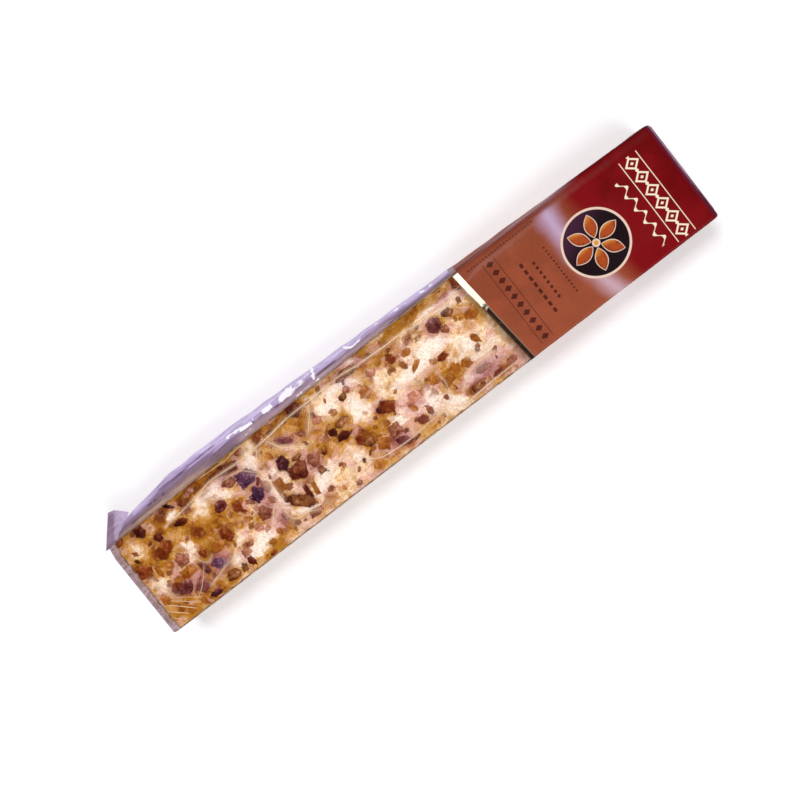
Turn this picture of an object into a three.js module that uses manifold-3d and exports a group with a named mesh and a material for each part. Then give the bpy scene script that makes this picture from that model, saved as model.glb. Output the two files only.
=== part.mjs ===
// A bar of soft nougat, shut in a film wrap. Two thirds of the wrap are clear, and the caramelised
// chips in the nougat stand up under it. A slanted gold band parts them from the printed end.
// Millimetres, +Z up. The origin is the middle of the flat underside, +X points to the printed end
// and +Y to the long side where the film stands off the bar as a slack fin.

import * as THREE from 'three';
import { mergeVertices } from 'three/addons/utils/BufferGeometryUtils.js';
import Module from 'manifold-3d';

const wasm = await Module();
wasm.setup();

// ---- The pack ----------------------------------------------------------------------------------
const LENGTH = 182; // over the folded ends
const WIDTH = 29.8; // between the long walls
const HEIGHT = 16.8; // from the underside to the film on top
const EDGE_ROUND = 0.8; // radius of the long edges
const SHOULDER_WIDTH = 3.7; // strip that slopes from the top crease to the slack side
const SHOULDER_DROP = 1.3; // fall of that strip
const SHOULDER_DROP_PRINTED = 0.7; // its fall at the printed end, where the film lies tight
const SWELL = 0.28; // the top is this uneven
const SWELL_WAVES = [
  { along: 0.115, across: 0.21, start: 0.4 },
  { along: 0.071, across: -0.33, start: 2.1 },
  { along: 0.193, across: 0.12, start: 4.4 },
]; // radians per mm

// ---- The slack fin on the +Y side --------------------------------------------------------------
const FIN_REACH = 5.5; // beyond the wall, where it is widest
const FIN_START = 24; // it widens over this length from the clear end
const FIN_START_SHARE = 0.4; // its reach at that end, as a share of the full one
const FIN_FULL_TO = -50; // it keeps the full reach up to here, then tapers evenly
const FIN_GONE_AT = 70; // from here on the film lies on the wall
const NARROWING = 0.9; // and the wall draws in this much up to the printed end
const FIN_FOOT = 3.2; // height where it leaves the wall
const FIN_HEIGHT = 11.6; // height of its outer edge
const FIN_THICKNESS = 0.7;
const KNEE_SHARE = 0.42; // the fold in its upper face, as a share of the reach
const KNEE_HEIGHT = 13.9;

// ---- The pointed ear of film at the clear end --------------------------------------------------
const EAR_CORNER = [-91.2, 14.5];
const EAR_TIP = [-85.3, 22];
const EAR_TIP_WIDTH = 2;
const EAR_ROOT = [-79, 14];
const EAR_SLOPE = 0.36; // fall for each mm out from the wall
const EAR_TOP = 15.4; // height at its corner
const EAR_THICKNESS = 0.8;

// ---- The folded ends ---------------------------------------------------------------------------
const FLAP_THICKNESS = 0.35; // each end has one flap folded down and one folded up over it
const FLAP_BASE_WIDTH = 26.4;
const FLAP_TIP_WIDTH = 13.5;
const FLAP_REACH = 10.2;
const END_TUCK = 0.4; // the wrap draws in this much at the end faces
const END_TUCK_LENGTH = 1.6;

// ---- The gold band -----------------------------------------------------------------------------
const BAND_X = 31.2; // where its middle crosses the centre line
const BAND_WIDTH = 1.6;
const BAND_SLANT = THREE.MathUtils.degToRad(5.3); // its -Y end lies nearer to the printed end
const BAND_GAP = 0.3; // joint between the band and each stretch of wrap

// ---- The chips ---------------------------------------------------------------------------------
const CHIP_RISE = 0.35; // they lift the film by this much
const CHIP_DEPTH = 1.2;
const CHIP_TAPER = 0.78; // the top face of a chip against its root
const CHIP_ROUGHNESS = 0.22; // how uneven its outline is
const CHIP_CLEARANCE = 4; // kept from the ends of the clear stretch
const LARGE_CHIPS = [
  // middle along and across the bar, length, width, turn in degrees
  { at: [-85.5, 3.3], size: [5.0, 5.4], turn: 20 },
  { at: [-79.8, 12.2], size: [3.6, 3.6], turn: 5 },
  { at: [-77.6, 5.0], size: [6.6, 4.4], turn: 10 },
  { at: [-75.2, -0.3], size: [4.2, 4.0], turn: 40 },
  { at: [-66.3, -11.8], size: [4.5, 3.2], turn: -10 },
  { at: [-61.0, -2.3], size: [4.0, 4.4], turn: 15 },
  { at: [-57.4, 4.8], size: [4.0, 3.0], turn: 8 },
  { at: [-47.4, 6.5], size: [6.4, 4.8], turn: -12 },
  { at: [-47.2, 1.5], size: [4.4, 4.8], turn: 0 },
  { at: [-48.8, -4.0], size: [4.5, 3.8], turn: 20 },
  { at: [-36.6, 3.3], size: [3.2, 4.2], turn: 20 },
  { at: [-33.8, -1.2], size: [5.6, 5.0], turn: 10 },
  { at: [-39.0, -6.8], size: [8.2, 3.2], turn: -38 },
  { at: [-32.6, 8.4], size: [5.6, 2.2], turn: -36 },
  { at: [-17.8, -0.9], size: [4.6, 2.0], turn: 8 },
  { at: [-17.2, 2.4], size: [4.8, 2.6], turn: 5 },
  { at: [-5.9, -1.5], size: [4.5, 4.0], turn: -30 },
  { at: [-6.8, -11.4], size: [5.2, 2.8], turn: -30 },
  { at: [3.5, 7.8], size: [2.8, 3.0], turn: 0 },
  { at: [17.7, 7.5], size: [4.4, 4.6], turn: 12 },
  { at: [15.2, -4.8], size: [4.0, 3.6], turn: 30 },
  { at: [21.0, -9.1], size: [4.6, 2.2], turn: -5 },
];
const SMALL_CHIP = { shortest: 1.7, longest: 3.6 };
const CHIP_SEED = 20817;
const TOP_GRID = { along: 6.6, across: 5.4, margin: 3.2 };
const WALL_GRID = { along: 7.4, across: 5.6, margin: 2.6 };

const STEPS_ALONG = 56;
const POINTS_ACROSS = 7;
const ARC_SEGMENTS = 3;

const HALF_WIDTH = WIDTH / 2;
const FACE_X = LENGTH / 2 - 2 * FLAP_THICKNESS; // the end faces that the flaps lie on
const TOP_EDGE_Y = HALF_WIDTH - SHOULDER_WIDTH;

// Random numbers from 0 to 1 that repeat from run to run.
function seededRandom(seed) {
  let state = seed;
  return () => {
    state = (state + 0x6d2b79f5) | 0;
    let t = Math.imul(state ^ (state >>> 15), 1 | state);
    t = (t + Math.imul(t ^ (t >>> 7), 61 | t)) ^ t;
    return ((t ^ (t >>> 14)) >>> 0) / 4294967296;
  };
}

const clamp01 = (value) => Math.min(1, Math.max(0, value));

// ---- Shape of the wrap along the bar -----------------------------------------------------------
function finReach(x) {
  const left = clamp01((FIN_GONE_AT - x) / (FIN_GONE_AT - FIN_FULL_TO));
  const start = clamp01((x + FACE_X) / FIN_START);
  return FIN_REACH * left * THREE.MathUtils.lerp(FIN_START_SHARE, 1, start);
}

function narrowing(x) {
  return NARROWING * clamp01((x - FIN_GONE_AT) / (FACE_X - FIN_GONE_AT));
}

function shoulderDrop(x) {
  const printed = clamp01((x - BAND_X) / (LENGTH / 2 - BAND_X));
  return THREE.MathUtils.lerp(SHOULDER_DROP, SHOULDER_DROP_PRINTED, printed);
}

function swell(x, y) {
  let height = 0;
  for (const wave of SWELL_WAVES) {
    height += Math.sin(wave.along * x + wave.across * y + wave.start);
  }
  const inset = clamp01((HALF_WIDTH - Math.abs(y)) / 5) * clamp01((FACE_X - Math.abs(x)) / 5);
  return (SWELL * inset * height) / SWELL_WAVES.length;
}

function topHeight(x, y) {
  const slope = clamp01((y - TOP_EDGE_Y) / SHOULDER_WIDTH);
  return HEIGHT + swell(x, y) - slope * shoulderDrop(x);
}

// The outline across the bar. The fin is drawn 1 mm wide here and gets its reach along the bar.
function acrossOutline() {
  const wall = HALF_WIDTH - EDGE_ROUND;
  const outline = new THREE.Shape();
  outline.moveTo(-wall, 0);
  outline.lineTo(wall, 0);
  outline.absarc(wall, EDGE_ROUND, EDGE_ROUND, -Math.PI / 2, 0, false);
  outline.lineTo(HALF_WIDTH, FIN_FOOT);
  outline.lineTo(HALF_WIDTH + 1, FIN_HEIGHT - FIN_THICKNESS / 2);
  outline.lineTo(HALF_WIDTH + 1, FIN_HEIGHT + FIN_THICKNESS / 2);
  outline.lineTo(HALF_WIDTH + KNEE_SHARE, KNEE_HEIGHT);
  outline.lineTo(HALF_WIDTH, HEIGHT - SHOULDER_DROP);
  for (let i = 0; i < POINTS_ACROSS; i += 1) {
    const share = i / (POINTS_ACROSS - 1);
    outline.lineTo(THREE.MathUtils.lerp(TOP_EDGE_Y, -wall, share), HEIGHT);
  }
  outline.absarc(-wall, HEIGHT - EDGE_ROUND, EDGE_ROUND, Math.PI / 2, Math.PI, false);
  outline.absarc(-wall, EDGE_ROUND, EDGE_ROUND, Math.PI, 1.5 * Math.PI, false);
  return outline;
}

// Places one point of the straight extrusion on the real wrap.
function settle(point) {
  const { x } = point;
  const upper = clamp01((point.z - HEIGHT / 2) / (HEIGHT / 2));
  if (point.y > HALF_WIDTH) {
    point.y = HALF_WIDTH + (point.y - HALF_WIDTH) * finReach(x);
  }
  if (point.z > HEIGHT - EDGE_ROUND) {
    point.z += topHeight(x, point.y) - HEIGHT;
  } else if (point.z > KNEE_HEIGHT && point.y > 0) {
    point.z += SHOULDER_DROP - shoulderDrop(x);
  }
  point.y -= narrowing(x) * clamp01(point.y / HALF_WIDTH);
  const tuck = clamp01((Math.abs(x) - (FACE_X - END_TUCK_LENGTH)) / END_TUCK_LENGTH) ** 2;
  point.y -= Math.sign(point.y) * END_TUCK * tuck * 0.6;
  point.z -= END_TUCK * tuck * upper;
}

// Crowds the steps of the extrusion towards both ends, where the wrap draws in.
function spreadAlong(x) {
  const share = x / FACE_X;
  return FACE_X * (1.06 * share - 0.06 * share ** 9);
}

const sideways = new THREE.Matrix4().makeBasis(
  new THREE.Vector3(0, 1, 0),
  new THREE.Vector3(0, 0, 1),
  new THREE.Vector3(1, 0, 0),
); // an outline in (y, z), drawn out along x

function moveVertices(geometry, move) {
  const position = geometry.attributes.position;
  const point = new THREE.Vector3();
  for (let i = 0; i < position.count; i += 1) {
    point.fromBufferAttribute(position, i);
    move(point);
    position.setXYZ(i, point.x, point.y, point.z);
  }
  return geometry;
}

function wrapGeometry() {
  const geometry = new THREE.ExtrudeGeometry(acrossOutline(), {
    depth: 2 * FACE_X,
    steps: STEPS_ALONG,
    curveSegments: ARC_SEGMENTS,
    bevelEnabled: false,
  });
  geometry.translate(0, 0, -FACE_X);
  geometry.applyMatrix4(sideways);
  return moveVertices(geometry, (point) => {
    point.x = spreadAlong(point.x);
    settle(point);
  });
}

// ---- Film folded out and over ------------------------------------------------------------------
function plate(corners, thickness) {
  const outline = new THREE.Shape(corners.map(([a, b]) => new THREE.Vector2(a, b)));
  return new THREE.ExtrudeGeometry(outline, { depth: thickness, bevelEnabled: false });
}

function earGeometry() {
  const corners = [
    [EAR_CORNER[0] + 3, EAR_CORNER[1] - 2],
    EAR_CORNER,
    EAR_TIP,
    [EAR_TIP[0] + EAR_TIP_WIDTH, EAR_TIP[1] - 0.2],
    [EAR_TIP[0] + EAR_TIP_WIDTH + 2.4, EAR_TIP[1] - 2.6],
    EAR_ROOT,
  ];
  return moveVertices(plate(corners, EAR_THICKNESS), (point) => {
    point.z += EAR_TOP - EAR_THICKNESS - EAR_SLOPE * Math.max(0, point.y - EAR_CORNER[1]);
  });
}

// A trapezoid that starts at a long edge of the end face; side is -1 or 1 for the end, and
// up is 1 for the flap that is folded up from the underside and lies outermost.
function flapGeometry(side, up) {
  const start = up > 0 ? 0.5 : HEIGHT - END_TUCK - SHOULDER_DROP - 0.3;
  const corners = [
    [-FLAP_BASE_WIDTH / 2, start],
    [FLAP_BASE_WIDTH / 2, start],
    [FLAP_TIP_WIDTH / 2, start + up * FLAP_REACH],
    [-FLAP_TIP_WIDTH / 2, start + up * FLAP_REACH],
  ];
  const stands = up > 0 ? 2 * FLAP_THICKNESS : FLAP_THICKNESS;
  const geometry = plate(corners, stands + 0.5);
  geometry.applyMatrix4(sideways);
  const inner = side > 0 ? FACE_X - 0.5 : -FACE_X - stands;
  return geometry.translate(inner, 0, 0);
}

// ---- Chips -------------------------------------------------------------------------------------
function chipGeometry(length, width, random) {
  const corners = 5 + Math.floor(random() * 3);
  const points = [];
  for (let i = 0; i < corners; i += 1) {
    const angle = ((i + 0.35 * (random() - 0.5)) / corners) * 2 * Math.PI;
    const radius = 0.5 * (1 + CHIP_ROUGHNESS * (random() - 0.5));
    points.push([length * radius * Math.cos(angle), width * radius * Math.sin(angle)]);
  }
  return moveVertices(plate(points, CHIP_DEPTH + CHIP_RISE), (point) => {
    if (point.z > CHIP_DEPTH) {
      point.x *= CHIP_TAPER;
      point.y *= CHIP_TAPER;
    }
    point.z -= CHIP_DEPTH;
  });
}

const CLEAR_FROM = -FACE_X + CHIP_CLEARANCE;
const CLEAR_TO = BAND_X - CHIP_CLEARANCE;

// Calls place(along, across) once in each cell of a shifted grid over the clear stretch.
function scatter(grid, from, to, random, place) {
  const columns = Math.floor((CLEAR_TO - CLEAR_FROM) / grid.along);
  const rows = Math.floor((to - from) / grid.across);
  for (let column = 0; column < columns; column += 1) {
    for (let row = 0; row < rows; row += 1) {
      const along = CLEAR_FROM + ((column + 0.2 + 0.6 * random()) * (CLEAR_TO - CLEAR_FROM)) / columns;
      const across = from + ((row + 0.2 + 0.6 * random()) * (to - from)) / rows;
      place(along, across);
    }
  }
}

function smallChip(random) {
  const { shortest, longest } = SMALL_CHIP;
  const length = shortest + (longest - shortest) * random();
  const chip = chipGeometry(length, length * (0.6 + 0.4 * random()), random);
  return chip.rotateZ(2 * Math.PI * random());
}

function chipGeometries() {
  const random = seededRandom(CHIP_SEED);
  const chips = [];
  for (const { at, size, turn } of LARGE_CHIPS) {
    const chip = chipGeometry(size[0], size[1], random);
    chip.rotateZ(THREE.MathUtils.degToRad(turn));
    chips.push(chip.translate(at[0], at[1], topHeight(at[0], at[1])));
  }
  const edge = HALF_WIDTH - TOP_GRID.margin;
  scatter(TOP_GRID, -edge, TOP_EDGE_Y - 1, random, (x, y) => {
    const chip = smallChip(random);
    const taken = LARGE_CHIPS.some(({ at, size }) => {
      return Math.hypot(x - at[0], y - at[1]) < Math.max(...size) / 2 + SMALL_CHIP.longest / 2;
    });
    if (!taken) chips.push(chip.translate(x, y, topHeight(x, y)));
  });
  scatter(WALL_GRID, WALL_GRID.margin, HEIGHT - WALL_GRID.margin, random, (x, z) => {
    chips.push(smallChip(random).rotateX(Math.PI / 2).translate(x, -HALF_WIDTH, z));
  });
  return chips;
}

// ---- Joining and cutting -----------------------------------------------------------------------
function solid(geometry) {
  geometry.deleteAttribute('normal');
  geometry.deleteAttribute('uv');
  const merged = mergeVertices(geometry);
  return new wasm.Manifold(
    new wasm.Mesh({
      numProp: 3,
      vertProperties: merged.attributes.position.array,
      triVerts: merged.index.array,
    }),
  );
}

function bufferGeometry(body) {
  const mesh = body.getMesh();
  const geometry = new THREE.BufferGeometry();
  geometry.setAttribute('position', new THREE.BufferAttribute(mesh.vertProperties, 3));
  geometry.setIndex(new THREE.BufferAttribute(mesh.triVerts, 1));
  geometry.computeVertexNormals();
  return geometry;
}

// The slanted slice of space between two distances from the middle of the gold band.
function slice(from, to) {
  const box = new THREE.BoxGeometry(to - from, 3 * WIDTH, 4 * HEIGHT);
  box.translate((from + to) / 2, 0, 0);
  box.rotateZ(BAND_SLANT);
  return solid(box.translate(BAND_X, 0, 0));
}

function named(name, body, { color, roughness, metalness }) {
  const material = new THREE.MeshStandardMaterial({ color, roughness, metalness });
  const mesh = new THREE.Mesh(bufferGeometry(body), material);
  mesh.name = name;
  return mesh;
}

let wrap = solid(wrapGeometry());
for (const side of [-1, 1]) {
  for (const up of [-1, 1]) {
    wrap = wrap.add(solid(flapGeometry(side, up)));
  }
}
wrap = wrap.add(solid(earGeometry()));
for (const chip of chipGeometries()) {
  wrap = wrap.add(solid(chip));
}

const joint = BAND_WIDTH / 2;
const clearWrap = wrap.intersect(slice(-2 * LENGTH, -joint - BAND_GAP));
const goldBand = wrap.intersect(slice(-joint, joint));
const printedWrap = wrap.intersect(slice(joint + BAND_GAP, 2 * LENGTH));

const bar = new THREE.Group();
bar.add(named('clear_wrap', clearWrap, { color: 0xd9b98a, roughness: 0.25, metalness: 0 }));
bar.add(named('gold_band', goldBand, { color: 0xc9a24a, roughness: 0.3, metalness: 0.8 }));
bar.add(named('printed_wrap', printedWrap, { color: 0x8e2a22, roughness: 0.35, metalness: 0 }));

export default bar;
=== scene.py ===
"""Dresses the nougat bar: nougat and chips under clear film, a gold band and a printed end.

Metres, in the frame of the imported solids: +X to the printed end, +Y to the side where the film
stands off the bar as a slack fin, +Z up, with the origin in the middle of the flat underside.
"""

import logging
import math
import random
from contextlib import contextmanager
from dataclasses import dataclass, field
from enum import Enum
from typing import Callable, Iterator, Sequence

import bmesh
import bpy
import numpy as np
from mathutils import Matrix, Vector


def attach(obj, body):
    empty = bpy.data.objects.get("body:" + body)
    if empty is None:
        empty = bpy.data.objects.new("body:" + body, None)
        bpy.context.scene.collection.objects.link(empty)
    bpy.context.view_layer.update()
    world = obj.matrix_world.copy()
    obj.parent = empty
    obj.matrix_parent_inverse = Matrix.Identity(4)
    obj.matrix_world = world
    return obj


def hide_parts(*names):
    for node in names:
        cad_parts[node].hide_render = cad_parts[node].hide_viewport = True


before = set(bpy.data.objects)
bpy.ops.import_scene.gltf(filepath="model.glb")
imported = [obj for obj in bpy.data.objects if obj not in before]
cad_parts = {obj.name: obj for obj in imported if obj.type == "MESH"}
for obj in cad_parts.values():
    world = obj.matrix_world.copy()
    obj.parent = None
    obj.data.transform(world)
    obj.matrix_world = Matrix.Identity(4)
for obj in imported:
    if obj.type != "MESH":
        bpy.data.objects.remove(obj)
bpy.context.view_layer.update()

MM = 0.001
LOG = logging.getLogger("nougat_bar")

Socket = bpy.types.NodeSocket
Piece = bpy.types.Object
Values = np.ndarray
Inputs = dict[str | int, object]
Colour = tuple[float, float, float, float]
WHITE: Colour = (1.0, 1.0, 1.0, 1.0)


def srgb(red: float, green: float, blue: float) -> Colour:
    """Turn a screen colour of 0 to 255 into the linear colour that shaders take.

    Args:
        red: red on the screen.
        green: green on the screen.
        blue: blue on the screen.

    Returns:
        The linear colour with an alpha of 1.
    """
    parts = [value / 255 for value in (red, green, blue)]
    linear = [p / 12.92 if p <= 0.04045 else ((p + 0.055) / 1.055) ** 2.4 for p in parts]
    return (linear[0], linear[1], linear[2], 1.0)


# ---- Shader arithmetic ----


class Field:
    """A number that varies over a surface; arithmetic on it adds Math nodes."""

    def __init__(self, board: "Board", socket: Socket) -> None:
        """Wrap an output socket of a board's node tree."""
        self.board = board
        self.socket = socket

    def math(self, operation: str, *others: "Field | float", swap: bool = False) -> "Field":
        """Add one Math node.

        Args:
            operation: Blender's name for the operation.
            others: the remaining operands.
            swap: put this field after the first other operand.

        Returns:
            The node's result.
        """
        values: list = [self, *others]
        if swap:
            values[0], values[1] = values[1], values[0]
        made = self.board.node("ShaderNodeMath", {"operation": operation}, dict(enumerate(values)))
        return Field(self.board, made.outputs[0])

    def __add__(self, other: "Field | float") -> "Field":
        """Sum."""
        return self.math("ADD", other)

    def __radd__(self, other: float) -> "Field":
        """Sum, reflected."""
        return self.math("ADD", other)

    def __sub__(self, other: "Field | float") -> "Field":
        """Difference."""
        return self.math("SUBTRACT", other)

    def __rsub__(self, other: float) -> "Field":
        """Difference, reflected."""
        return self.math("SUBTRACT", other, swap=True)

    def __mul__(self, other: "Field | float") -> "Field":
        """Product."""
        return self.math("MULTIPLY", other)

    def __truediv__(self, other: "Field | float") -> "Field":
        """Quotient."""
        return self.math("DIVIDE", other)

    def __neg__(self) -> "Field":
        """Negative."""
        return self.math("MULTIPLY", -1.0)

    def __abs__(self) -> "Field":
        """Distance from zero."""
        return self.math("ABSOLUTE")

    def least(self, other: "Field | float") -> "Field":
        """Give the smaller of two."""
        return self.math("MINIMUM", other)

    def most(self, other: "Field | float") -> "Field":
        """Give the larger of two."""
        return self.math("MAXIMUM", other)

    def root(self) -> "Field":
        """Give the square root."""
        return self.math("SQRT")

    def sine(self) -> "Field":
        """Give the sine."""
        return self.math("SINE")

    def fraction(self) -> "Field":
        """Give the part after the decimal point, from 0 to 1 for negatives too."""
        return self.math("FRACT")

    def ramp(self, low: float, high: float) -> "Field":
        """Rise smoothly from 0 at one value to 1 at another.

        Args:
            low: the value that gives 0.
            high: the value that gives 1; it may be the lower of the two.

        Returns:
            The eased field.
        """
        flip = low > high
        limits = {1: min(low, high), 2: max(low, high), 3: float(flip), 4: float(not flip)}
        made = self.board.node(
            "ShaderNodeMapRange", {"interpolation_type": "SMOOTHSTEP"}, {0: self, **limits}
        )
        return Field(self.board, made.outputs[0])


class Board:
    """A material and its node tree, with the few steps that every finish needs."""

    def __init__(self, name: str) -> None:
        """Start an empty material.

        Args:
            name: the material's name.
        """
        self.material = bpy.data.materials.new(name)
        self.material.use_nodes = True
        self.tree = self.material.node_tree
        self.tree.nodes.clear()
        place = self.node("ShaderNodeTexCoord", {}, {}).outputs["Object"]
        self.millimetres = self.vector("SCALE", {0: place, "Scale": 1 / MM})

    def node(self, kind: str, settings: dict[str, object], inputs: Inputs) -> bpy.types.Node:
        """Add any node.

        Args:
            kind: the node's type.
            settings: its own settings, set before its sockets.
            inputs: socket name or index to a value, a socket or a Field.

        Returns:
            The new node.
        """
        made = self.tree.nodes.new(kind)
        for name, value in settings.items():
            setattr(made, name, value)
        for key, value in inputs.items():
            if isinstance(value, Field):
                value = value.socket
            if isinstance(value, Socket):
                self.tree.links.new(value, made.inputs[key])
            else:
                made.inputs[key].default_value = value
        return made

    def vector(self, operation: str, inputs: Inputs) -> Socket:
        """Add one Vector Math node and give its vector."""
        return self.node("ShaderNodeVectorMath", {"operation": operation}, inputs).outputs[0]

    def axes(self) -> tuple[Field, Field, Field]:
        """Give the place on the piece in millimetres."""
        parts = self.node("ShaderNodeSeparateXYZ", {}, {0: self.millimetres}).outputs
        return Field(self, parts[0]), Field(self, parts[1]), Field(self, parts[2])

    def noise(
        self,
        size: float,
        detail: float = 2.0,
        distortion: float = 0.0,
        shift: float = 0.0,
        stretch: tuple[float, float, float] = (1.0, 1.0, 1.0),
    ) -> Field:
        """Add soft random mottling.

        Args:
            size: width of its blotches in millimetres.
            detail: number of finer layers.
            distortion: how far it is swirled.
            shift: moves the pattern, so that two of one size differ.
            stretch: how much longer the blotches are along each axis.

        Returns:
            A field around 0.5.
        """
        scale = tuple(1 / value for value in stretch)
        moving = {0: self.millimetres, "Location": (shift, 0.7 * shift, 0), "Scale": scale}
        place = self.node("ShaderNodeMapping", {}, moving).outputs[0]
        inputs = {"Vector": place, "Scale": 1 / size, "Detail": detail, "Distortion": distortion}
        return Field(self, self.node("ShaderNodeTexNoise", {}, inputs).outputs["Fac"])

    def mosaic(self, size: float, swirl: float) -> tuple[Field, Field, Field]:
        """Divide the piece into uneven cells.

        Args:
            size: width of a cell in millimetres.
            swirl: how far the cells' outlines are bent, in millimetres.

        Returns:
            The distance to the cell's outline as a share of its width, and two chances that
            each cell draws for itself.
        """
        noise = {"Vector": self.millimetres, "Scale": 0.9 / size, "Detail": 3}
        bend = self.node("ShaderNodeTexNoise", {}, noise).outputs["Color"]
        centred = self.vector("SUBTRACT", {0: bend, 1: (0.5,) * 3})
        pushed = self.vector("MULTIPLY_ADD", {0: centred, 1: (2 * swirl,) * 3, 2: self.millimetres})
        common = {"Vector": pushed, "Scale": 1 / size}
        outline = self.node("ShaderNodeTexVoronoi", {"feature": "DISTANCE_TO_EDGE"}, common)
        cell = self.node("ShaderNodeTexVoronoi", {"feature": "F1"}, common)
        draws = self.node("ShaderNodeSeparateColor", {}, {0: cell.outputs["Color"]}).outputs
        chances = Field(self, draws[0]), Field(self, draws[1])
        return Field(self, outline.outputs["Distance"]), *chances

    def attribute(self, name: str) -> Field:
        """Read a value that the mesh carries at its points."""
        made = self.node("ShaderNodeAttribute", {"attribute_name": name}, {})
        return Field(self, made.outputs["Fac"])

    def mix(self, first: "Colour | Socket", second: "Colour | Socket", share: Field) -> Socket:
        """Blend two colours by a share of the second, from 0 to 1."""
        settings = {"data_type": "RGBA", "blend_type": "MIX", "clamp_factor": True}
        return self.node("ShaderNodeMix", settings, {0: share, 6: first, 7: second}).outputs[2]

    def tinted(self, colour: Socket, strength: Field) -> Socket:
        """Multiply a colour by the strength at each place."""
        return self.vector("SCALE", {0: colour, "Scale": strength})

    def bump(self, height: Field, depth: float, strength: float = 1.0) -> Socket:
        """Turn a height from 0 to 1 into a normal; a height of 1 stands for the depth in mm."""
        inputs = {"Height": height, "Distance": depth * MM, "Strength": strength}
        return self.node("ShaderNodeBump", {}, inputs).outputs[0]

    def principled(self, colour: Socket, roughness: "Field | float", others: Inputs) -> Socket:
        """Add the main shader from a colour, a roughness and its other sockets by name."""
        inputs = {"Base Color": colour, "Roughness": roughness, **others}
        return self.node("ShaderNodeBsdfPrincipled", {}, inputs).outputs[0]

    def clear(self) -> Socket:
        """Add a shader that lets everything through."""
        return self.node("ShaderNodeBsdfTransparent", {}, {0: WHITE}).outputs[0]

    def layered(self, share: Field, below: Socket, above: Socket) -> Socket:
        """Lay the upper shader over the lower one, by the share that it shows."""
        return self.node("ShaderNodeMixShader", {}, {0: share, 1: below, 2: above}).outputs[0]

    def finished(self, shader: Socket) -> bpy.types.Material:
        """Connect the last shader and give the material."""
        self.node("ShaderNodeOutputMaterial", {}, {"Surface": shader})
        return self.material


# ---- Modelling steps ----


class Part(Enum):
    """What is picked in edit mode."""

    EDGES = "EDGE"
    FACES = "FACE"


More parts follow.
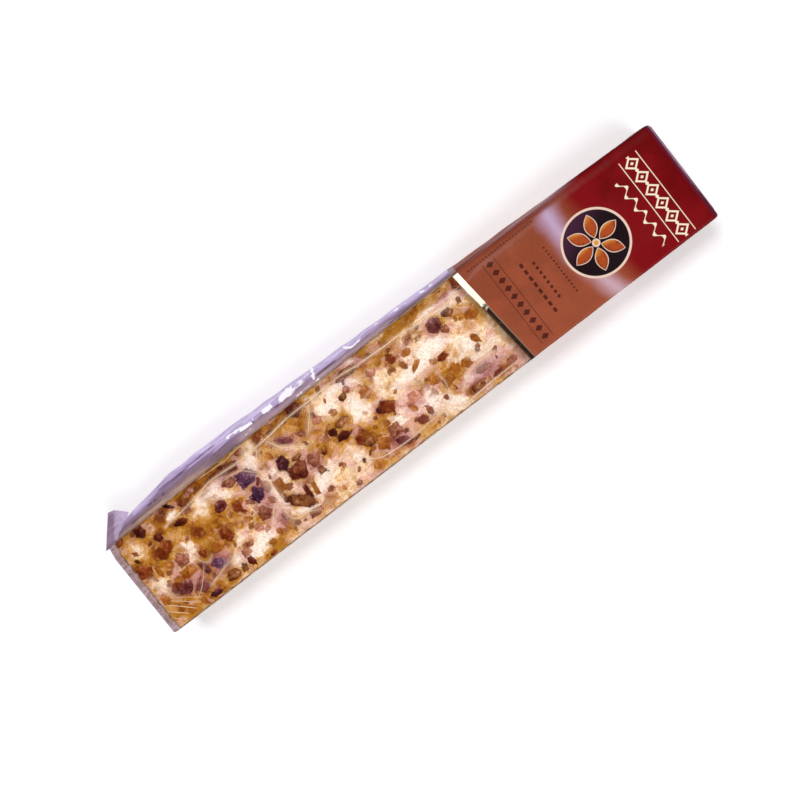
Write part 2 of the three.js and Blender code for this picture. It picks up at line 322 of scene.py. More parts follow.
class Bench:
    """The modelling steps that every sub-assembly takes, on one piece at a time."""

    @staticmethod
    def take(piece: Piece) -> None:
        """Select one piece alone and make it active.

        Args:
            piece: the piece to work on.
        """
        bpy.ops.object.select_all(action="DESELECT")
        piece.select_set(True)
        bpy.context.view_layer.objects.active = piece

    @staticmethod
    @contextmanager
    def editing(piece: Piece) -> Iterator[None]:
        """Hold a piece in edit mode, with nothing selected at first.

        Args:
            piece: the piece to edit.

        Yields:
            Nothing; the piece stays in edit mode until the block ends.
        """
        Bench.take(piece)
        bpy.ops.object.mode_set(mode="EDIT")
        bpy.ops.mesh.select_all(action="DESELECT")
        yield
        bpy.ops.object.mode_set(mode="OBJECT")

    @staticmethod
    def pick(piece: Piece, part: Part, wanted: Callable[[object], bool]) -> None:
        """Select edges or faces by their place, direction or normal.

        Args:
            piece: the piece in edit mode.
            part: what is picked.
            wanted: tells whether an edge or a face is picked.
        """
        bpy.ops.mesh.select_mode(type=part.value)
        shape = bmesh.from_edit_mesh(piece.data)
        for item in shape.edges if part is Part.EDGES else shape.faces:
            item.select = wanted(item)
        shape.select_flush_mode()
        bmesh.update_edit_mesh(piece.data)

    @staticmethod
    def block(name: str, low: Sequence[float], high: Sequence[float]) -> Piece:
        """Add a box between two corners.

        Args:
            name: the piece's name.
            low: lowest corner in metres.
            high: highest corner in metres.

        Returns:
            The box, with its place in its mesh.
        """
        bpy.ops.object.select_all(action="DESELECT")
        middle = [(a + b) / 2 for a, b in zip(low, high)]
        bpy.ops.mesh.primitive_cube_add(size=1, location=middle)
        piece = bpy.context.active_object
        piece.name = piece.data.name = name
        piece.scale = [b - a for a, b in zip(low, high)]
        bpy.ops.object.transform_apply(location=True, rotation=True, scale=True)
        return piece

    @staticmethod
    def round_edges(piece: Piece, radius: float, segments: int) -> None:
        """Bevel every edge of a block.

        Args:
            piece: the block.
            radius: the bevel's radius in metres.
            segments: faces across the bevel.
        """
        with Bench.editing(piece):
            bpy.ops.mesh.select_all(action="SELECT")
            bpy.ops.mesh.bevel(offset=radius, segments=segments, affect="EDGES")

    @staticmethod
    def cut_along(piece: Piece, axis: int, shortest: float, cuts: int) -> None:
        """Subdivide the edges that run along one axis.

        Args:
            piece: the piece to cut.
            axis: 0, 1 or 2 for X, Y or Z.
            shortest: edges under this length are left, in metres.
            cuts: new rings between the ends of each edge.
        """

        def runs_along(edge: bmesh.types.BMEdge) -> bool:
            """Tell whether an edge is long enough and runs along the axis."""
            run = edge.verts[1].co - edge.verts[0].co
            return run.length > shortest and abs(run[axis]) > 0.999 * run.length

        with Bench.editing(piece):
            Bench.pick(piece, Part.EDGES, runs_along)
            bpy.ops.mesh.subdivide(number_cuts=cuts, quadcorner="STRAIGHT_CUT")

    @staticmethod
    def keep_side(piece: Piece, point: Vector, normal: Vector) -> None:
        """Cut a closed piece by a plane, drop what lies along the normal and close the cut.

        Args:
            piece: the piece to cut.
            point: a point on the plane.
            normal: the plane's normal.
        """
        with Bench.editing(piece):
            bpy.ops.mesh.select_all(action="SELECT")
            bpy.ops.mesh.bisect(
                plane_co=point, plane_no=normal, use_fill=True, clear_outer=True, threshold=1e-7
            )

    @staticmethod
    def copy(piece: Piece, name: str) -> Piece:
        """Copy a piece with its own mesh.

        Args:
            piece: the piece to copy.
            name: the copy's name.

        Returns:
            The copy.
        """
        twin = piece.copy()
        twin.data = piece.data.copy()
        twin.name = twin.data.name = name
        bpy.context.collection.objects.link(twin)
        return twin

    @staticmethod
    def join(pieces: Sequence[Piece], name: str) -> Piece:
        """Make one piece of several, with its place in its mesh.

        Args:
            pieces: the pieces; the first one takes the others in.
            name: the joined piece's name.

        Returns:
            The joined piece.
        """
        Bench.take(pieces[0])
        for piece in pieces:
            piece.select_set(True)
        bpy.ops.object.join()
        joined = bpy.context.active_object
        joined.name = joined.data.name = name
        bpy.ops.object.transform_apply(location=True, rotation=True, scale=True)
        return joined

    @staticmethod
    def points(piece: Piece) -> Values:
        """Read a piece's points.

        Args:
            piece: the piece.

        Returns:
            One row of x, y and z for each point, in metres.
        """
        flat = np.zeros(len(piece.data.vertices) * 3)
        piece.data.vertices.foreach_get("co", flat)
        return flat.reshape(-1, 3)

    @staticmethod
    def move_points(piece: Piece, points: Values) -> None:
        """Put a piece's points in new places, one row for each, in metres."""
        piece.data.vertices.foreach_set("co", points.ravel())
        piece.data.update()

    @staticmethod
    def mark(piece: Piece, name: str, values: Values) -> None:
        """Store a value at each point under a name that a finish can read."""
        layer = piece.data.attributes.new(name, "FLOAT", "POINT")
        layer.data.foreach_set("value", values.astype(np.float32))

    @staticmethod
    def smooth(piece: Piece, degrees: float) -> None:
        """Shade a piece smooth, with sharp edges past an angle in degrees."""
        Bench.take(piece)
        bpy.ops.object.shade_smooth_by_angle(angle=math.radians(degrees))


def eased(values: Values, low: float, high: float) -> Values:
    """Rise smoothly from 0 where the values are low to 1 where they are high."""
    share = np.clip((values - low) / (high - low), 0, 1)
    return share * share * (3 - 2 * share)


def from_middle(
    x: Values, y: Values, middle: tuple[float, float], turn: float
) -> tuple[Values, Values]:
    """Measure places from the middle of a turned shape.

    Args:
        x: places along the bar.
        y: places across it.
        middle: the shape's middle.
        turn: its turn in degrees.

    Returns:
        The distances along the shape and across it.
    """
    c, s = math.cos(math.radians(turn)), math.sin(math.radians(turn))
    dx, dy = x - middle[0], y - middle[1]
    return dx * c + dy * s, dy * c - dx * s


# ---- Form of the pack ----


@dataclass(frozen=True)
class PackForm:
    """Sizes of the shut pack, in metres, and how its faces run."""

    length: float = 182 * MM
    width: float = 29.8 * MM
    height: float = 16.8 * MM
    edge_round: float = 0.8 * MM
    flap: float = 0.35 * MM
    shoulder_width: float = 3.7 * MM
    shoulder_drop: float = 1.3 * MM
    shoulder_drop_printed: float = 0.7 * MM
    swell: float = 0.28 * MM
    fin_reach: float = 5.5 * MM
    fin_full_to: float = -50 * MM
    fin_gone_at: float = 70 * MM
    fin_start: float = 24 * MM
    fin_start_share: float = 0.4
    narrowing: float = 0.9 * MM
    fin_foot: float = 3.2 * MM
    fin_height: float = 11.6 * MM
    fin_thickness: float = 0.7 * MM
    fin_top: float = 15.5 * MM
    knee_share: float = 0.42
    knee_height: float = 13.9 * MM
    end_tuck: float = 0.4 * MM
    end_tuck_length: float = 1.6 * MM
    band_x: float = 31.2 * MM
    band_width: float = 1.6 * MM
    band_slant: float = math.radians(5.3)
    waves: tuple[tuple[float, float, float], ...] = (  # per mm along, per mm across, start
        (0.115, 0.21, 0.4), (0.071, -0.33, 2.1), (0.193, 0.12, 4.4)
    )
    waves_inset: float = 5 * MM
    shoulder_softens_over: float = 6 * MM
    top_pull: float = 3 * MM
    end_tuck_aside: float = 0.6

    @property
    def face_x(self) -> float:
        """Distance of the end faces, under their flaps, from the middle."""
        return self.length / 2 - 2 * self.flap

    @property
    def half_width(self) -> float:
        """Distance of the long walls from the middle."""
        return self.width / 2

    @property
    def crease_y(self) -> float:
        """Where the top's long crease lies across the bar."""
        return self.half_width - self.shoulder_width

    def fin_reach_at(self, x: Values) -> Values:
        """Give how far the slack film stands off the wall.

        Args:
            x: places along the bar.

        Returns:
            The reach at each place.
        """
        left = np.clip((self.fin_gone_at - x) / (self.fin_gone_at - self.fin_full_to), 0, 1)
        start = np.clip((x + self.face_x) / self.fin_start, 0, 1)
        return self.fin_reach * left * (self.fin_start_share + (1 - self.fin_start_share) * start)

    def narrowing_at(self, x: Values) -> Values:
        """Give how far the +Y wall draws in toward the printed end, at places along the bar."""
        past = np.clip((x - self.fin_gone_at) / (self.face_x - self.fin_gone_at), 0, 1)
        return self.narrowing * past

    def shoulder_drop_at(self, x: Values) -> Values:
        """Give how far the shoulder falls at places along the bar."""
        printed = np.clip((x - self.band_x) / (self.length / 2 - self.band_x), 0, 1)
        return self.shoulder_drop + (self.shoulder_drop_printed - self.shoulder_drop) * printed

    def swell_at(self, x: Values, y: Values) -> Values:
        """Give the unevenness of the top.

        Args:
            x: places along the bar.
            y: places across it.

        Returns:
            The rise or fall at each place.
        """
        total = sum(np.sin((a * x + b * y) / MM + start) for a, b, start in self.waves)
        inset = np.clip((self.half_width - np.abs(y)) / self.waves_inset, 0, 1)
        inset = inset * np.clip((self.face_x - np.abs(x)) / self.waves_inset, 0, 1)
        return self.swell * inset * total / len(self.waves)

    def top_height(self, x: Values, y: Values) -> Values:
        """Give the height of the top face.

        Args:
            x: places along the bar.
            y: places across it.

        Returns:
            The height at each place.
        """
        slope = np.clip((y - self.crease_y) / self.shoulder_width, 0, 1)
        softness = 1 + eased(x, self.band_x, self.band_x + self.shoulder_softens_over)
        return self.height + self.swell_at(x, y) - slope**softness * self.shoulder_drop_at(x)

    def fin_share(self, height: Values) -> Values:
        """Give the fin's outline across the bar: its reach at each height, from 0 to 1.

        Args:
            height: heights above the underside.

        Returns:
            The share of the full reach.
        """
        half = self.fin_thickness / 2
        low, high = self.fin_height - half, self.fin_height + half
        heights = [self.fin_foot, low, high, self.knee_height, self.fin_top]
        return np.interp(height, heights, [0, 1, 1, self.knee_share, 0])

    def crowd_rows(self, points: Values) -> Values:
        """Gather the rows of the slack wall where the fin's upper faces will be.

        Args:
            points: the block's points.

        Returns:
            The points with new heights.
        """
        low, high = self.edge_round, self.height - self.edge_round
        even = [0, low, low + 0.1 * (high - low), low + 0.4 * (high - low), high, self.height]
        wanted = [0, low, self.fin_foot, self.fin_height - self.fin_thickness, high, self.height]
        toward = np.clip(points[:, 1] / self.width + 0.5, 0, 1)
        crowded = np.interp(points[:, 2], even, wanted)
        moved = points.copy()
        moved[:, 2] += toward * (crowded - points[:, 2])
        return moved

    def settled(self, points: Values, with_fin: bool) -> Values:
        """Give the block the form of the pack.

        Args:
            points: the block's points.
            with_fin: pull the slack fin out of the +Y wall.

        Returns:
            The points in their places on the pack.
        """
        x, y, z = points.T.copy()
        upper = np.clip(z / self.height * 2 - 1, 0, 1)
        reach = np.zeros_like(x)
        if with_fin:
            at_wall = np.clip((y - self.half_width) / self.edge_round + 1, 0, 1)
            reach = self.fin_reach_at(x) * self.fin_share(z) * at_wall
        rise = self.top_height(x, y) - self.height
        y = y - self.narrowing_at(x) * np.clip(y / self.half_width, 0, 1)
        near_top = eased(z, self.height - self.top_pull, self.height - 0.3 * self.edge_round)
        past = np.abs(x) - self.face_x + self.end_tuck_length
        tuck = self.end_tuck * np.clip(past / self.end_tuck_length, 0, 1) ** 2
        y = y + reach - np.sign(y) * self.end_tuck_aside * tuck
        return np.column_stack((x, y, z + rise * near_top - tuck * upper))


FORM = PackForm()


# ---- Chips ----


class ChipKind(Enum):
    """The kinds of caramelised chip, by their colour."""

    NIGHT = "chips_black"
    VIOLET = "chips_violet"
    DARK = "chips_dark"
    PLUM = "chips_plum"
    RUST = "chips_rust"
    MAUVE = "chips_mauve"
    AMBER = "chips_amber"
    OLIVE = "chips_olive"
    PINK = "chips_pink"


NIGHT, VIOLET, DARK, PLUM, RUST, MAUVE, AMBER, OLIVE, PINK = ChipKind


@dataclass(frozen=True)
class ChipFinish:
    """Glassy caramel, painted lighter on one side and darker on the other as light and shade, whose rim
    melts into the nougat.
    """

    name: str
    deep: Colour
    body: Colour
    light: Colour
    cover: float = 0.97
    ring: float = 0.12

    def material(self) -> bpy.types.Material:
        """Make the material.

        Returns:
            The finished material.
        """
        board = Board(self.name)
        rim, across, tone = (board.attribute(name) for name in ("rim", "across", "tone"))
        mottle = board.noise(1.5, detail=3, distortion=0.8)
        lump = board.noise(0.7, detail=3, distortion=0.5, shift=31)
        grain = board.noise(0.3, detail=2, shift=5)
        edge, chance, _ = board.mosaic(1.9, 0.5)
        # across * 0.55 is painted light and shade: one side of each chip lighter, the other darker.
        depth = (mottle - 0.5) * 1.8 + (lump - 0.5) * 0.9 + (chance - 0.5) * 0.45 + across * 0.55
        depth = depth + (tone - 0.5) * 0.3 + edge.ramp(0.0, 0.12) * 0.12
        depth = depth - (1 - rim) * self.ring
        colour = board.mix(self.deep, self.body, depth.ramp(-0.45, 0.08))
        colour = board.mix(colour, self.light, depth.ramp(0.12, 0.6))
        colour = board.tinted(colour, 0.97 + (tone - 0.5) * 0.16 + (grain - 0.5) * 0.36)
        normal = board.bump(mottle * 0.6 + lump * 0.4, 0.3, 0.5)
        others = {"Specular IOR Level": 0.04, "Normal": normal}
        caramel = board.principled(colour, 0.35 + mottle * 0.2, others)
        seen = (rim * 1.3 + (lump - 0.5) * 1.3 + (mottle - 0.5) * 0.9).ramp(0.12, 0.9) * self.cover
        return board.finished(board.layered(seen, board.clear(), caramel))


CHIP_FINISHES = {
    NIGHT: ChipFinish("black_caramel", srgb(36, 2, 8), srgb(66, 20, 26), srgb(116, 58, 66)),
    VIOLET: ChipFinish("violet_caramel", srgb(52, 14, 42), srgb(92, 52, 76), srgb(158, 112, 134), 0.94),
    DARK: ChipFinish("dark_caramel", srgb(58, 4, 0), srgb(92, 30, 12), srgb(140, 78, 50)),
    PLUM: ChipFinish("plum_caramel", srgb(74, 18, 16), srgb(116, 56, 52), srgb(170, 112, 106)),
    RUST: ChipFinish("rust_caramel", srgb(92, 22, 0), srgb(124, 52, 14), srgb(166, 94, 50)),
    MAUVE: ChipFinish("mauve_caramel", srgb(108, 48, 26), srgb(144, 82, 56), srgb(186, 126, 104), 0.92, 0.4),
    AMBER: ChipFinish("amber_caramel", srgb(134, 66, 4), srgb(164, 96, 30), srgb(198, 132, 70), 0.92),
    OLIVE: ChipFinish("olive_caramel", srgb(76, 26, 6), srgb(136, 80, 40), srgb(188, 134, 98), 0.97, 0.8),
    PINK: ChipFinish("pink_caramel", srgb(150, 84, 56), srgb(188, 124, 96), srgb(226, 170, 146), 0.85, 0.4),
}


@dataclass(frozen=True)
class Chip:
    """One chip on the top face: its place and size in millimetres, and its turn in degrees."""

    x: float
    y: float
    long: float
    wide: float
    turn: float
    kind: ChipKind

    def halo(self, x: Values, y: Values, reach: float) -> Values:
        """Give how near places lie to the chip.

        Args:
            x: places along the bar, in millimetres.
            y: places across it, in millimetres.
            reach: distance from the rim at which little is left, in millimetres.

        Returns:
            From 1 on the chip to 0 far from it.
        """
        along, across = from_middle(x, y, (self.x, self.y), self.turn)
        share = 2 * np.hypot(along / self.long, across / self.wide)
        past = np.maximum(share - 1, 0) * (self.long + self.wide) / 4
        return np.exp(-((past / reach) ** 2))


TOP_CHIPS = tuple(Chip(*row) for row in (
    (-86.4, 13.6, 3.2, 1.8, 30, RUST), (-85.4, 3.4, 5.2, 5.4, 15, RUST),
    (-86.0, -6.2, 2.8, 3.6, 10, AMBER), (-82.3, 0.8, 1.6, 3.8, 0, AMBER),
    (-81.3, -5.4, 3.6, 3.0, 0, RUST), (-79.8, 12.4, 3.5, 4.2, 5, DARK),
    (-78.8, -7.0, 5.6, 4.0, 10, PLUM), (-75.2, -9.6, 4.6, 3.2, -24, PLUM),
    (-77.6, 4.9, 6.8, 4.4, 12, RUST), (-76.4, 8.3, 3.2, 2.6, -20, DARK),
    (-76.0, -3.9, 4.8, 3.0, 0, AMBER), (-75.2, -0.2, 4.4, 4.0, 30, MAUVE),
    (-73.3, -13.0, 4.0, 1.8, -12, NIGHT), (-69.7, -2.3, 2.3, 2.8, 0, RUST),
    (-71.6, -5.8, 2.0, 4.2, 20, PLUM), (-69.2, 13.2, 4.4, 1.0, -40, NIGHT),
    (-68.9, 8.0, 4.2, 2.0, -18, DARK), (-67.6, -7.2, 4.8, 3.0, -34, VIOLET),
    (-66.5, 2.7, 3.4, 2.4, -30, RUST), (-66.3, -12.0, 4.5, 3.0, -8, OLIVE),
    (-65.2, 9.3, 2.4, 1.4, 10, MAUVE), (-65.0, -3.2, 5.0, 3.0, 0, AMBER),
    (-64.9, 11.3, 4.0, 2.3, -25, RUST), (-61.0, -2.2, 4.0, 4.6, 0, RUST),
    (-60.0, -12.2, 2.2, 3.4, 0, DARK), (-59.6, -9.2, 2.8, 2.2, 0, PINK),
    (-57.6, -8.0, 2.2, 1.4, -20, MAUVE), (-57.3, 4.8, 4.0, 3.0, 5, PLUM),
    (-53.8, -14.0, 2.4, 1.0, 0, RUST), (-53.2, 12.0, 4.4, 1.5, 0, RUST),
    (-52.8, 1.5, 4.2, 4.4, 0, RUST), (-52.6, -6.0, 2.6, 2.6, 0, PINK),
    (-51.4, 8.4, 4.4, 3.0, -15, MAUVE), (-49.4, 11.4, 6.0, 3.0, -16, DARK),
    (-48.8, -4.0, 4.4, 3.8, 20, MAUVE), (-47.2, 6.7, 7.2, 5.0, -12, VIOLET),
    (-47.3, 1.4, 4.8, 5.0, 0, VIOLET), (-44.8, -8.4, 3.4, 1.7, -62, PLUM),
    (-44.2, 12.8, 2.8, 2.4, 0, RUST), (-44.0, 1.4, 2.8, 3.6, 0, PINK),
    (-40.9, -0.7, 3.0, 4.0, 0, AMBER), (-38.9, -7.3, 8.8, 3.6, -38, OLIVE),
    (-38.2, 12.9, 2.6, 3.0, 0, RUST), (-37.4, -12.1, 4.2, 2.2, -8, MAUVE),
    (-36.6, 3.5, 4.6, 3.6, 70, NIGHT), (-35.8, -6.4, 3.9, 1.6, 82, DARK),
    (-33.9, -0.8, 6.8, 5.4, 8, DARK), (-33.6, -6.9, 4.2, 1.5, 80, AMBER),
    (-32.6, 8.2, 5.6, 2.2, -38, PLUM), (-32.4, 2.4, 3.6, 1.6, 0, OLIVE),
    (-29.4, -0.8, 3.6, 4.0, 0, MAUVE), (-27.4, 6.6, 2.2, 2.0, 0, MAUVE),
    (-25.8, -1.0, 1.8, 1.4, 0, DARK), (-25.4, 12.6, 5.0, 4.2, 0, DARK),
    (-22.0, 7.0, 3.0, 2.0, 0, PINK), (-20.6, 1.7, 2.6, 2.6, 0, DARK), (-18.5, -0.6, 5.4, 2.6, 6, DARK),
    (-17.2, 2.6, 4.6, 2.2, 5, OLIVE), (-16.2, -4.3, 2.4, 3.2, 0, RUST),
    (-16.0, -12.0, 4.0, 2.0, 10, AMBER), (-11.6, -8.4, 4.2, 3.2, 60, AMBER),
    (-14.4, -6.0, 3.4, 2.6, 20, OLIVE), (-12.8, 7.5, 2.6, 2.0, 0, OLIVE),
    (-10.9, 8.6, 2.2, 2.0, 0, MAUVE), (-10.2, 10.8, 2.6, 0.9, 70, PLUM),
    (-8.9, 11.9, 9.0, 2.8, -8, OLIVE), (-7.4, -1.2, 1.6, 2.0, 0, NIGHT),
    (-7.2, 4.8, 4.0, 3.4, 0, AMBER), (-7.2, -7.7, 3.6, 3.4, 0, MAUVE),
    (-6.8, -11.5, 5.2, 2.6, -32, PLUM), (-5.2, -1.6, 4.4, 3.6, -35, RUST),
    (-3.0, 8.0, 3.0, 2.4, 0, PINK), (0.3, -10.1, 3.0, 2.4, 0, RUST), (1.8, -3.8, 4.8, 3.0, 0, PINK),
    (3.2, -9.0, 2.2, 3.4, 10, MAUVE), (3.5, 7.8, 2.8, 3.2, 0, RUST), (7.5, 2.3, 4.2, 1.5, 30, AMBER),
    (7.6, 6.5, 3.0, 2.0, 0, AMBER), (9.2, -3.5, 3.6, 3.0, 0, AMBER), (12.0, -6.0, 3.8, 2.6, 10, AMBER),
    (14.4, -0.2, 3.4, 2.0, 0, RUST), (15.1, -4.6, 4.0, 3.4, 30, AMBER),
    (17.5, -12.0, 5.0, 2.0, 0, OLIVE), (17.6, 7.6, 4.4, 4.4, 12, PLUM),
    (18.4, -5.3, 3.6, 2.8, -15, AMBER), (19.4, 5.0, 2.8, 2.4, 0, MAUVE),
    (21.0, -9.1, 4.8, 2.0, -4, MAUVE), (22.5, 8.0, 4.0, 2.5, 0, OLIVE),
    (24.0, -1.7, 3.6, 1.9, -65, AMBER), (24.2, -12.4, 5.6, 1.8, -4, RUST),
    (27.2, 4.0, 4.4, 3.0, 0, AMBER), (28.0, -11.8, 3.4, 2.4, 0, MAUVE),
    (28.2, 12.2, 1.8, 4.0, 0, RUST),
))


CRUMB_KINDS = [AMBER] * 8 + [RUST] * 2 + [OLIVE] + [MAUVE] * 5 + [PINK] * 3
CHIPS_FROM, CHIPS_TO = -FORM.face_x + 4 * MM, FORM.band_x - 3 * MM


@dataclass
class Chips:
    """The chips that lie in the nougat's surface, one piece for each kind."""

    corners: tuple[int, ...] = (5, 6, 5, 7, 4, 6, 5, 6)
    jitter: float = 0.14
    bevel: float = 0.07
    soft_rim: float = 0.19
    rise: float = 0.1 * MM
    thickness: float = 1.5 * MM
    growth: float = 1.2
    probe: float = 0.7 * MM
    wall_cell: float = 4.2 * MM
    wall_small: float = 1.4
    wall_large: float = 4.6
    crumb_cell: float = 2.6 * MM
    crumb_small: float = 1.3
    crumb_large: float = 3.2
    crumb_strength: float = 0.55
    crumb_share: float = 0.5
    crumb_sink: float = 0.07
    sink_spread: float = 0.06
    wall_sink_spread: float = 0.14
    wall_gap_share: float = 0.15
    wall_inset: float = 2.4 * MM
    wall_top_inset: float = 2.2 * MM
    seed: int = 41
    moulds: list[Piece] = field(default_factory=list)

    def model_mould(self, number: int, corners: int) -> Piece:
        """Model one angular chip, 1 m across, to be copied at real size.

        Args:
            number: which mould it is; it seeds the uneven outline.
            corners: corners of its outline.

        Returns:
            The mould.
        """
        bpy.ops.object.select_all(action="DESELECT")
        square = math.pi / corners
        bpy.ops.mesh.primitive_cylinder_add(
            vertices=corners, radius=0.5, depth=1, rotation=(0, 0, square)
        )
        bpy.ops.object.transform_apply(rotation=True)
        mould = bpy.context.active_object
        mould.name = mould.data.name = f"chip_mould_{number}"
        with Bench.editing(mould):
            bpy.ops.mesh.select_all(action="SELECT")
            bpy.ops.transform.vertex_random(offset=self.jitter, seed=number + 3)
            bpy.ops.mesh.bevel(offset=self.bevel, segments=1, affect="EDGES")
            Bench.pick(mould, Part.FACES, lambda face: face.normal.z > 0.9)
            bpy.ops.mesh.inset(thickness=0.09)
            bpy.ops.mesh.inset(thickness=0.12)
        points = Bench.points(mould)
        flat = points[:, :2]
        flat -= (flat.max(axis=0) + flat.min(axis=0)) / 2
        flat /= flat.max(axis=0) - flat.min(axis=0)
        radius = np.hypot(points[:, 0], points[:, 1])
        points[:, 2] = np.minimum(points[:, 2], 0.5) + 0.04 * (radius < 0.3) * (points[:, 2] > 0)
        Bench.move_points(mould, points)
        inside = np.full(len(points), np.inf)
        for angle in np.arange(0, math.tau, math.tau / 48):
            toward = points[:, :2] @ np.array([math.cos(angle), math.sin(angle)])
            inside = np.minimum(inside, toward.max() - toward)
        Bench.mark(mould, "rim", np.clip(inside / self.soft_rim, 0, 1) * (points[:, 2] > 0.2))
        # across rises over the chip, so that its finish paints one side lit and the other shaded.
        Bench.mark(mould, "across", points[:, 0] + 0.7 * points[:, 1])
        Bench.mark(mould, "tone", np.full(len(points), 0.5))
        return mould

    def place(
        self, mould: Piece, matrix: Matrix, tone: float, name: str, strength: float = 1.0
    ) -> Piece:
        """Put one copy of a mould in its place.

        Args:
            mould: the mould to copy.
            matrix: its place, turn and size.
            tone: how light it is, from 0 to 1.
            name: the copy's name.
            strength: how firmly it shows in the nougat, from 0 to 1.

        Returns:
            The chip.
        """
        chip = Bench.copy(mould, name)
        chip.data.transform(matrix)
        rim = np.zeros(len(chip.data.vertices), np.float32)
        chip.data.attributes["rim"].data.foreach_get("value", rim)
        chip.data.attributes["rim"].data.foreach_set("value", rim * strength)
        chip.data.attributes["tone"].data.foreach_set(
            "value", np.full(len(chip.data.vertices), tone, np.float32)
        )
        return chip

    def lay(
        self, chip: Chip, sink: float, draw: random.Random, name: str, strength: float = 1.0
    ) -> Piece:
        """Lay one chip in the top face.

        Args:
            chip: its place, size and turn.
            sink: how far it lies lower than the others, in metres.
            draw: the source of chance.
            name: its name.
            strength: how firmly it shows in the nougat, from 0 to 1.

        Returns:
            The chip.
        """
        x, y = chip.x * MM, chip.y * MM
        top = float(FORM.top_height(np.array([x]), np.array([y]))[0])
        lift = top - Nougat.skin + self.rise - self.thickness / 2 - sink
        lean = Matrix.Rotation(draw.uniform(-0.05, 0.05), 4, "X")
        lean @= Matrix.Rotation(draw.uniform(-0.04, 0.04), 4, "Y")
        long, wide = chip.long * MM * self.growth, chip.wide * MM * self.growth
        size = Matrix.Diagonal((long, wide, self.thickness, 1))
        turn = Matrix.Rotation(math.radians(chip.turn), 4, "Z")
        beside = FORM.top_height(np.array([x, x]), np.array([y - self.probe, y + self.probe]))
        fall = math.atan2(float(beside[1] - beside[0]), 2 * self.probe)
        turn = Matrix.Rotation(fall, 4, "X") @ turn
        matrix = Matrix.Translation((x, y, lift)) @ turn @ lean @ size
        mould = self.moulds[draw.randrange(len(self.moulds))]
        return self.place(mould, matrix, draw.random(), name, strength)

    def on_top(self, draw: random.Random) -> dict[ChipKind, list[Piece]]:
        """Place the chips of the top face, and crumbs between them.

        Args:
            draw: the source of chance.

        Returns:
            The chips of each kind.
        """
        placed: dict[ChipKind, list[Piece]] = {kind: [] for kind in ChipKind}
        for number, chip in enumerate(TOP_CHIPS):
            sink = draw.uniform(0, self.sink_spread) * MM
            placed[chip.kind].append(self.lay(chip, sink, draw, f"chip_{number}"))
        low_x, high_x = CHIPS_FROM, CHIPS_TO
        half = Nougat.half_width - 1 * MM
        columns = int((high_x - low_x) / self.crumb_cell)
        rows = int(2 * half / self.crumb_cell)
        for column in range(columns):
            for row in range(rows):
                x = (low_x + (column + draw.random()) * (high_x - low_x) / columns) / MM
                y = (-half + (row + draw.random()) * 2 * half / rows) / MM
                long = draw.uniform(self.crumb_small, self.crumb_large)
                wide, turn = long * draw.uniform(0.45, 0.95), draw.uniform(0, 180)
                kind = draw.choice(CRUMB_KINDS)
                taken = any(
                    math.hypot(x - c.x, y - c.y) < 0.5 * max(c.long, c.wide) for c in TOP_CHIPS
                )
                in_white = max(zone.spread(x, y) for zone in PALE_ZONES) > 0.4
                if taken or in_white or draw.random() < self.crumb_share:
                    continue
                crumb = Chip(x, y, long, wide, turn, kind)
                sink = (self.crumb_sink + draw.uniform(0, self.sink_spread)) * MM
                name = f"crumb_{column}_{row}"
                placed[kind].append(self.lay(crumb, sink, draw, name, self.crumb_strength))
        return placed

    def on_walls(self, draw: random.Random, placed: dict[ChipKind, list[Piece]]) -> None:
        """Scatter chips over the long walls, the clear end and the underside.

        Args:
            draw: the source of chance.
            placed: the chips of each kind, which the new ones join.
        """
        half = Nougat.half_width
        along_bar, wall = (CHIPS_FROM, CHIPS_TO), (self.wall_inset, FORM.height - self.wall_top_inset)
        width = (-half + self.wall_inset, half - self.wall_inset)
        faces = (
            ("front", (math.pi / 2, "X"), along_bar, wall, lambda a, b, out: (a, -half - out, b)),
            ("back", (-math.pi / 2, "X"), along_bar, wall, lambda a, b, out: (a, half + out, b)),
            ("under", (math.pi, "X"), along_bar, width, lambda a, b, out: (a, b, Nougat.skin - out)),
            ("end", (-math.pi / 2, "Y"), width, wall, lambda a, b, out: (-Nougat.clear_end - out, a, b)),
        )
        for side, (angle, axis), along, across, spot in faces:
            stand = Matrix.Rotation(angle, 4, axis)
            length, breadth = along[1] - along[0], across[1] - across[0]
            columns = int(length / self.wall_cell)
            rows = max(1, int(breadth / self.wall_cell))
            for column in range(columns):
                for row in range(rows):
                    a = along[0] + (column + draw.uniform(0.1, 0.9)) / columns * length
                    b = across[0] + (row + draw.uniform(0.2, 0.8)) / rows * breadth
                    if draw.random() < self.wall_gap_share:
                        continue
                    sink = draw.uniform(0, self.wall_sink_spread) * MM
                    place = Matrix.Translation(spot(a, b, self.rise - self.thickness / 2 - sink))
                    long = draw.uniform(self.wall_small, self.wall_large) * MM
                    wide = long * draw.uniform(0.5, 1)
                    size = Matrix.Diagonal((long, wide, self.thickness, 1))
                    turn = Matrix.Rotation(draw.uniform(0, math.tau), 4, "Z")
                    matrix = place @ stand @ turn @ size
                    kind = draw.choice(list(ChipKind))
                    mould = self.moulds[draw.randrange(len(self.moulds))]
                    chip = self.place(mould, matrix, draw.random(), f"chip_{side}_{column}_{row}")
                    placed[kind].append(chip)

    def build(self) -> list[Piece]:
        """Model, place and dress all chips.

        Returns:
            One piece for each kind.
        """
        draw = random.Random(self.seed)
        self.moulds = [self.model_mould(i, corners) for i, corners in enumerate(self.corners)]
        placed = self.on_top(draw)
        self.on_walls(draw, placed)
        for mould in self.moulds:
            bpy.data.objects.remove(mould)
        pieces = []
        for kind, chips in placed.items():
            piece = Bench.join(chips, kind.value)
            Bench.smooth(piece, 35)
            piece.data.materials.append(CHIP_FINISHES[kind].material())
            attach(piece, "root")
            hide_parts("clear_wrap")
            pieces.append(piece)
        return pieces


# ---- Nougat ----


